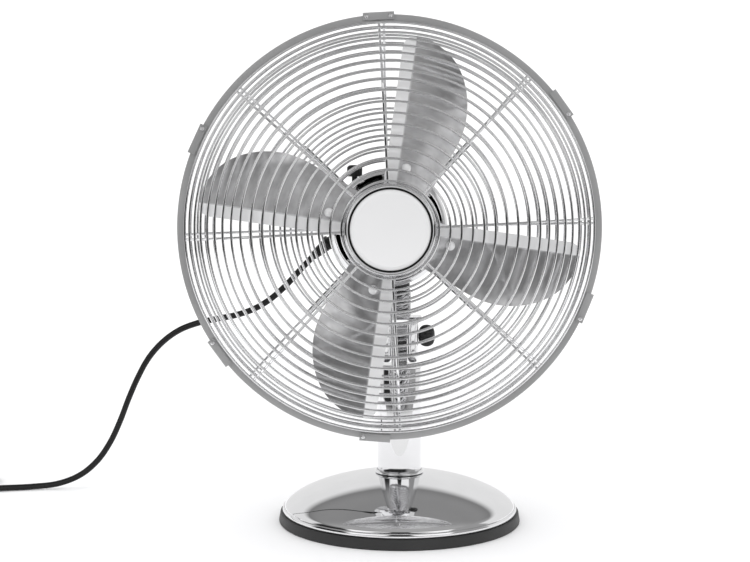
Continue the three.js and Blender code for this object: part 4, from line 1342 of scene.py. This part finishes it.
def make_rear_cover():
    """Deep-drawn rear shell with vents and holes for the mount, knobs and cord."""
    start = low_of("motor_rear_cover").y
    inside = MOTOR_RADIUS - MOTOR_WALL
    profile = [(MOTOR_RADIUS, start), (MOTOR_RADIUS, start + 20), *rear_skin(MOTOR_RADIUS, MOTOR_REAR),
               *rear_skin(inside, MOTOR_REAR - MOTOR_WALL)[::-1], (inside, start + 20), (inside, start)]
    cover = piece("motor_rear_shell", along_y(profile, 144, AT_HEAD), CHROME, "head")
    gear, knob = middle("worm_wheel"), middle("oscillation_knob")
    cuts = [
        hole(10, -60, -30, at(0, 0, HEAD.z), 40),
        hole(5, -60, -30, at(gear.x, gear.y, HEAD.z), 40),
        hole(3.2, 20, 60, at(knob.x, knob.y, HEAD.z)),
        hole(4.2, MOTOR_REAR - 6, MOTOR_REAR + 4, AT_HEAD @ TO_Y),
        hole(5, -8, 8, GLAND_PLACE),
    ]
    vent = prism([*arc(25.6, 0, 1.6, 90, 270, 8), *arc(34.4, 0, 1.6, -90, 90, 8)], 24)
    vent = moved(vent, turn(90, "X") @ at(0, 0, -MOTOR_REAR - 2))
    for degrees in (60, 90, 120, 240, 270, 300):
        cuts.append(cutter(moved(vent, AT_HEAD @ turn(-degrees, "Y"))))
    carve(cover, cuts)
    stands_for(cover, "motor_rear_cover")


def make_shaft():
    """Shaft with the rotor core and the worm."""
    profile = softened([
        (0, -108), (4, -108), (4, -21.5), (21.5, -21.5), (21.5, 8), (4, 8), (4, 26), (6, 26.6), (6, 39.4),
        (4, 40), (4, 42), (0, 42)], 0.5)
    shaft = piece("rotor_axle", along_y(profile, 64, AT_HEAD), STEEL, "rotor")
    stands_for(shaft, "rotor_shaft")


def make_swing_knob():
    """Pull-up knob for the oscillation, with a dished, ribbed cap."""
    place, low, top = middle("oscillation_knob"), low_of("oscillation_knob").z, high_of("oscillation_knob").z
    stem = lathe(softened([(0, low), (2.6, low), (2.6, top - 9), (0, top - 9)], 0.4), 32)
    rows = [(top - 10.2, 5.9), (top - 9.7, 6.5), (top - 3.4, 6.7), (top - 1.6, 6.4), (top - 0.4, 5.5),
            (top, 4.4), (top - 0.5, 3.4), (top - 0.7, 0.01)]
    cap = ribbed_wheel(rows, ribs=20, per_rib=6, depth=0.22, smooth_radius=6)
    shape = moved(joined(stem, cap), at(place.x, place.y))
    stands_for(piece("swing_knob_cap", shape, BLACK, "swing_knob", smooth_angle=50), "oscillation_knob")


def make_speed_knob():
    """Rotary speed knob with a grip bar and a white pointer."""
    start = MOTOR_REAR + 1.2
    inner_end, face = MOTOR_REAR - 8, start + 12
    skirt = softened([(0, inner_end), (3.6, inner_end), (3.6, start), (12.5, start), (12.5, start + 1.6),
                      (10.6, start + 3), (9.6, face), (0, face)], 0.7)
    body = piece("speed_knob_body", along_y(skirt, 72, AT_HEAD), BLACK, "speed_dial")
    stands_for(body, "speed_knob")
    plan = [*arc(0, 9.9, 1.6, 0, 180, 10), *arc(0, -9.9, 1.6, 180, 360, 10)]
    grip = moved(prism(plan, 11.2), AT_HEAD @ TO_Y @ at(0, 0, start + 2))
    bevel(piece("speed_knob_grip", grip, BLACK, "speed_dial"), 0.5)
    mark = moved(prism([(-0.5, 5.5), (0.5, 5.5), (0.5, 10.5), (-0.5, 10.5)], 0.25),
                 AT_HEAD @ turn(180, "Y") @ TO_Y @ at(0, 0, face + 1.1))
    piece("speed_knob_pointer", mark, NYLON, "speed_dial")


make_front_cover()
make_rear_cover()
make_shaft()
make_swing_knob()
make_speed_knob()

# ---------------------------------------------------------------- CAD nodes that keep their shape

KEPT = {
    IRON: ["base_weight", "motor_mount"],
    STEEL: ["tie_rod", "tie_nut", "pivot_stud", "crank_disc", "oscillation_link"],
    LAMINATION: ["stator_core"],
    WINDING: ["winding_front", "winding_rear"],
    BRONZE: ["bearing_front", "bearing_rear"],
    BLACK: ["gearbox_housing"],
    GREY: ["speed_switch"],
    NYLON: ["worm_wheel"],
}


def dress_kept_nodes():
    """Materials for the CAD nodes that no piece stands for."""
    for material, nodes in KEPT.items():
        for name in nodes:
            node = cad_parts[name]
            node.data.materials.clear()
            node.data.materials.append(material)


dress_kept_nodes()

# ---------------------------------------------------------------- studio

STUDIO_LIGHT = 1.16  # even light from all round, for whatever isn't a mirrored ray
OVERHEAD_LIGHT = 0.5


def make_floor():
    """Pale table top with round corners. Its front edge lies a little in front of the base."""
    outline = rounded_plan(-1000, 1000, -220, 1500, corner=250, steps=12)
    mesh = bpy.data.meshes.new("studio_floor")
    mesh.from_pydata([(x * MM, y * MM, 0) for x, y in outline], [], [list(range(len(outline)))])
    mesh.materials.append(floor_material())
    floor = bpy.data.objects.new("studio_floor", mesh)
    bpy.context.scene.collection.objects.link(floor)


class WorldShader:
    """Node helper for the brightness of the studio by direction."""

    def __init__(self, world):
        self.nodes, self.links = world.node_tree.nodes, world.node_tree.links
        self.nodes.clear()

    def put(self, socket, value):
        if isinstance(value, (int, float)):
            socket.default_value = value
        else:
            self.links.new(value, socket)

    def maths(self, operation, *values):
        node = self.nodes.new("ShaderNodeMath")
        node.operation = operation
        for socket, value in zip(node.inputs, values):
            self.put(socket, value)
        return node.outputs["Value"]

    def together(self, operation, first, *others):
        """Any number of values taken together, as their product or the highest of them."""
        for value in others:
            first = self.maths(operation, first, value)
        return first

    def ease(self, value, start, end, low, high):
        """A soft step from low at start to high at end."""
        node = self.nodes.new("ShaderNodeMapRange")
        node.interpolation_type = "SMOOTHSTEP"
        for name, number in (("From Min", start), ("From Max", end), ("To Min", low), ("To Max", high)):
            node.inputs[name].default_value = number
        self.put(node.inputs["Value"], value)
        return node.outputs["Result"]

    def mixed(self, part, first, second):
        """first where part is 0, second where it is 1."""
        node = self.nodes.new("ShaderNodeMix")
        self.put(node.inputs["Factor"], part)
        self.put(node.inputs["A"], first)
        self.put(node.inputs["B"], second)
        return node.outputs["Result"]


def studio_mirrored(shader):
    """What shiny parts mirror, by direction: x to the right, y to the back and z up.

    A dim ceiling, a weak light from the right, a low white backdrop behind, a soft box at each
    side in front, and a bright table that gets darker straight below. The front itself is dark.
    """
    where = shader.nodes.new("ShaderNodeTexCoord")
    parts = shader.nodes.new("ShaderNodeSeparateXYZ")
    shader.put(parts.inputs["Vector"], where.outputs["Generated"])
    x, y, z = parts.outputs
    aside = shader.maths("ABSOLUTE", x)
    ceiling = shader.together(
        "MULTIPLY", shader.ease(z, 0.35, 0.7, 0.06, 1.0), shader.ease(y, -0.3, 0.3, 0.42, 0.28))
    right_side = shader.ease(x, 0.4, 0.8, 0.0, 0.36)
    backdrop = shader.together(
        "MULTIPLY", shader.ease(y, -0.08, 0.12, 0.0, 0.86), shader.ease(z, 0.5, 0.64, 1.0, 0.0))
    soft_boxes = shader.together(
        "MULTIPLY",
        shader.ease(shader.maths("MULTIPLY", aside, z), 0.05, 0.08, 0.0, 1.0),
        shader.ease(z, 0.45, 0.56, 1.2, 0.0),
        shader.ease(aside, 0.7, 0.82, 1.0, 0.0),
        shader.ease(y, -0.3, -0.1, 1.0, 0.0))
    table = shader.together(
        "MULTIPLY", shader.ease(z, -0.155, -0.11, 1.0, 0.0), shader.ease(z, -0.6, -0.38, 0.1, 1.0))
    return shader.together("MAXIMUM", ceiling, right_side, backdrop, soft_boxes, table)


def make_world():
    """Shiny parts mirror the studio. Everything else gets even light from all round."""
    world = bpy.data.worlds.new("studio")
    bpy.context.scene.world = world
    world.use_nodes = True
    shader = WorldShader(world)
    ray = shader.nodes.new("ShaderNodeLightPath")
    strength = shader.mixed(ray.outputs["Is Glossy Ray"], STUDIO_LIGHT, studio_mirrored(shader))
    back = shader.nodes.new("ShaderNodeBackground")
    back.inputs["Color"].default_value = (1, 1, 1, 1)
    shader.put(back.inputs["Strength"], strength)
    out = shader.nodes.new("ShaderNodeOutputWorld")
    shader.links.new(back.outputs["Background"], out.inputs["Surface"])


def make_lights():
    """One weak, very soft light from above, as from a large overhead soft box. Chrome doesn't mirror it."""
    data = bpy.data.lights.new("overhead_light", "SUN")
    data.energy = OVERHEAD_LIGHT
    data.angle = math.radians(60)
    light = bpy.data.objects.new("overhead_light", data)
    light.rotation_euler = (math.radians(20), 0, math.radians(-20))
    light.visible_glossy = False
    bpy.context.scene.collection.objects.link(light)


make_floor()
make_world()
make_lights()
bpy.context.scene.view_settings.view_transform = "Standard"
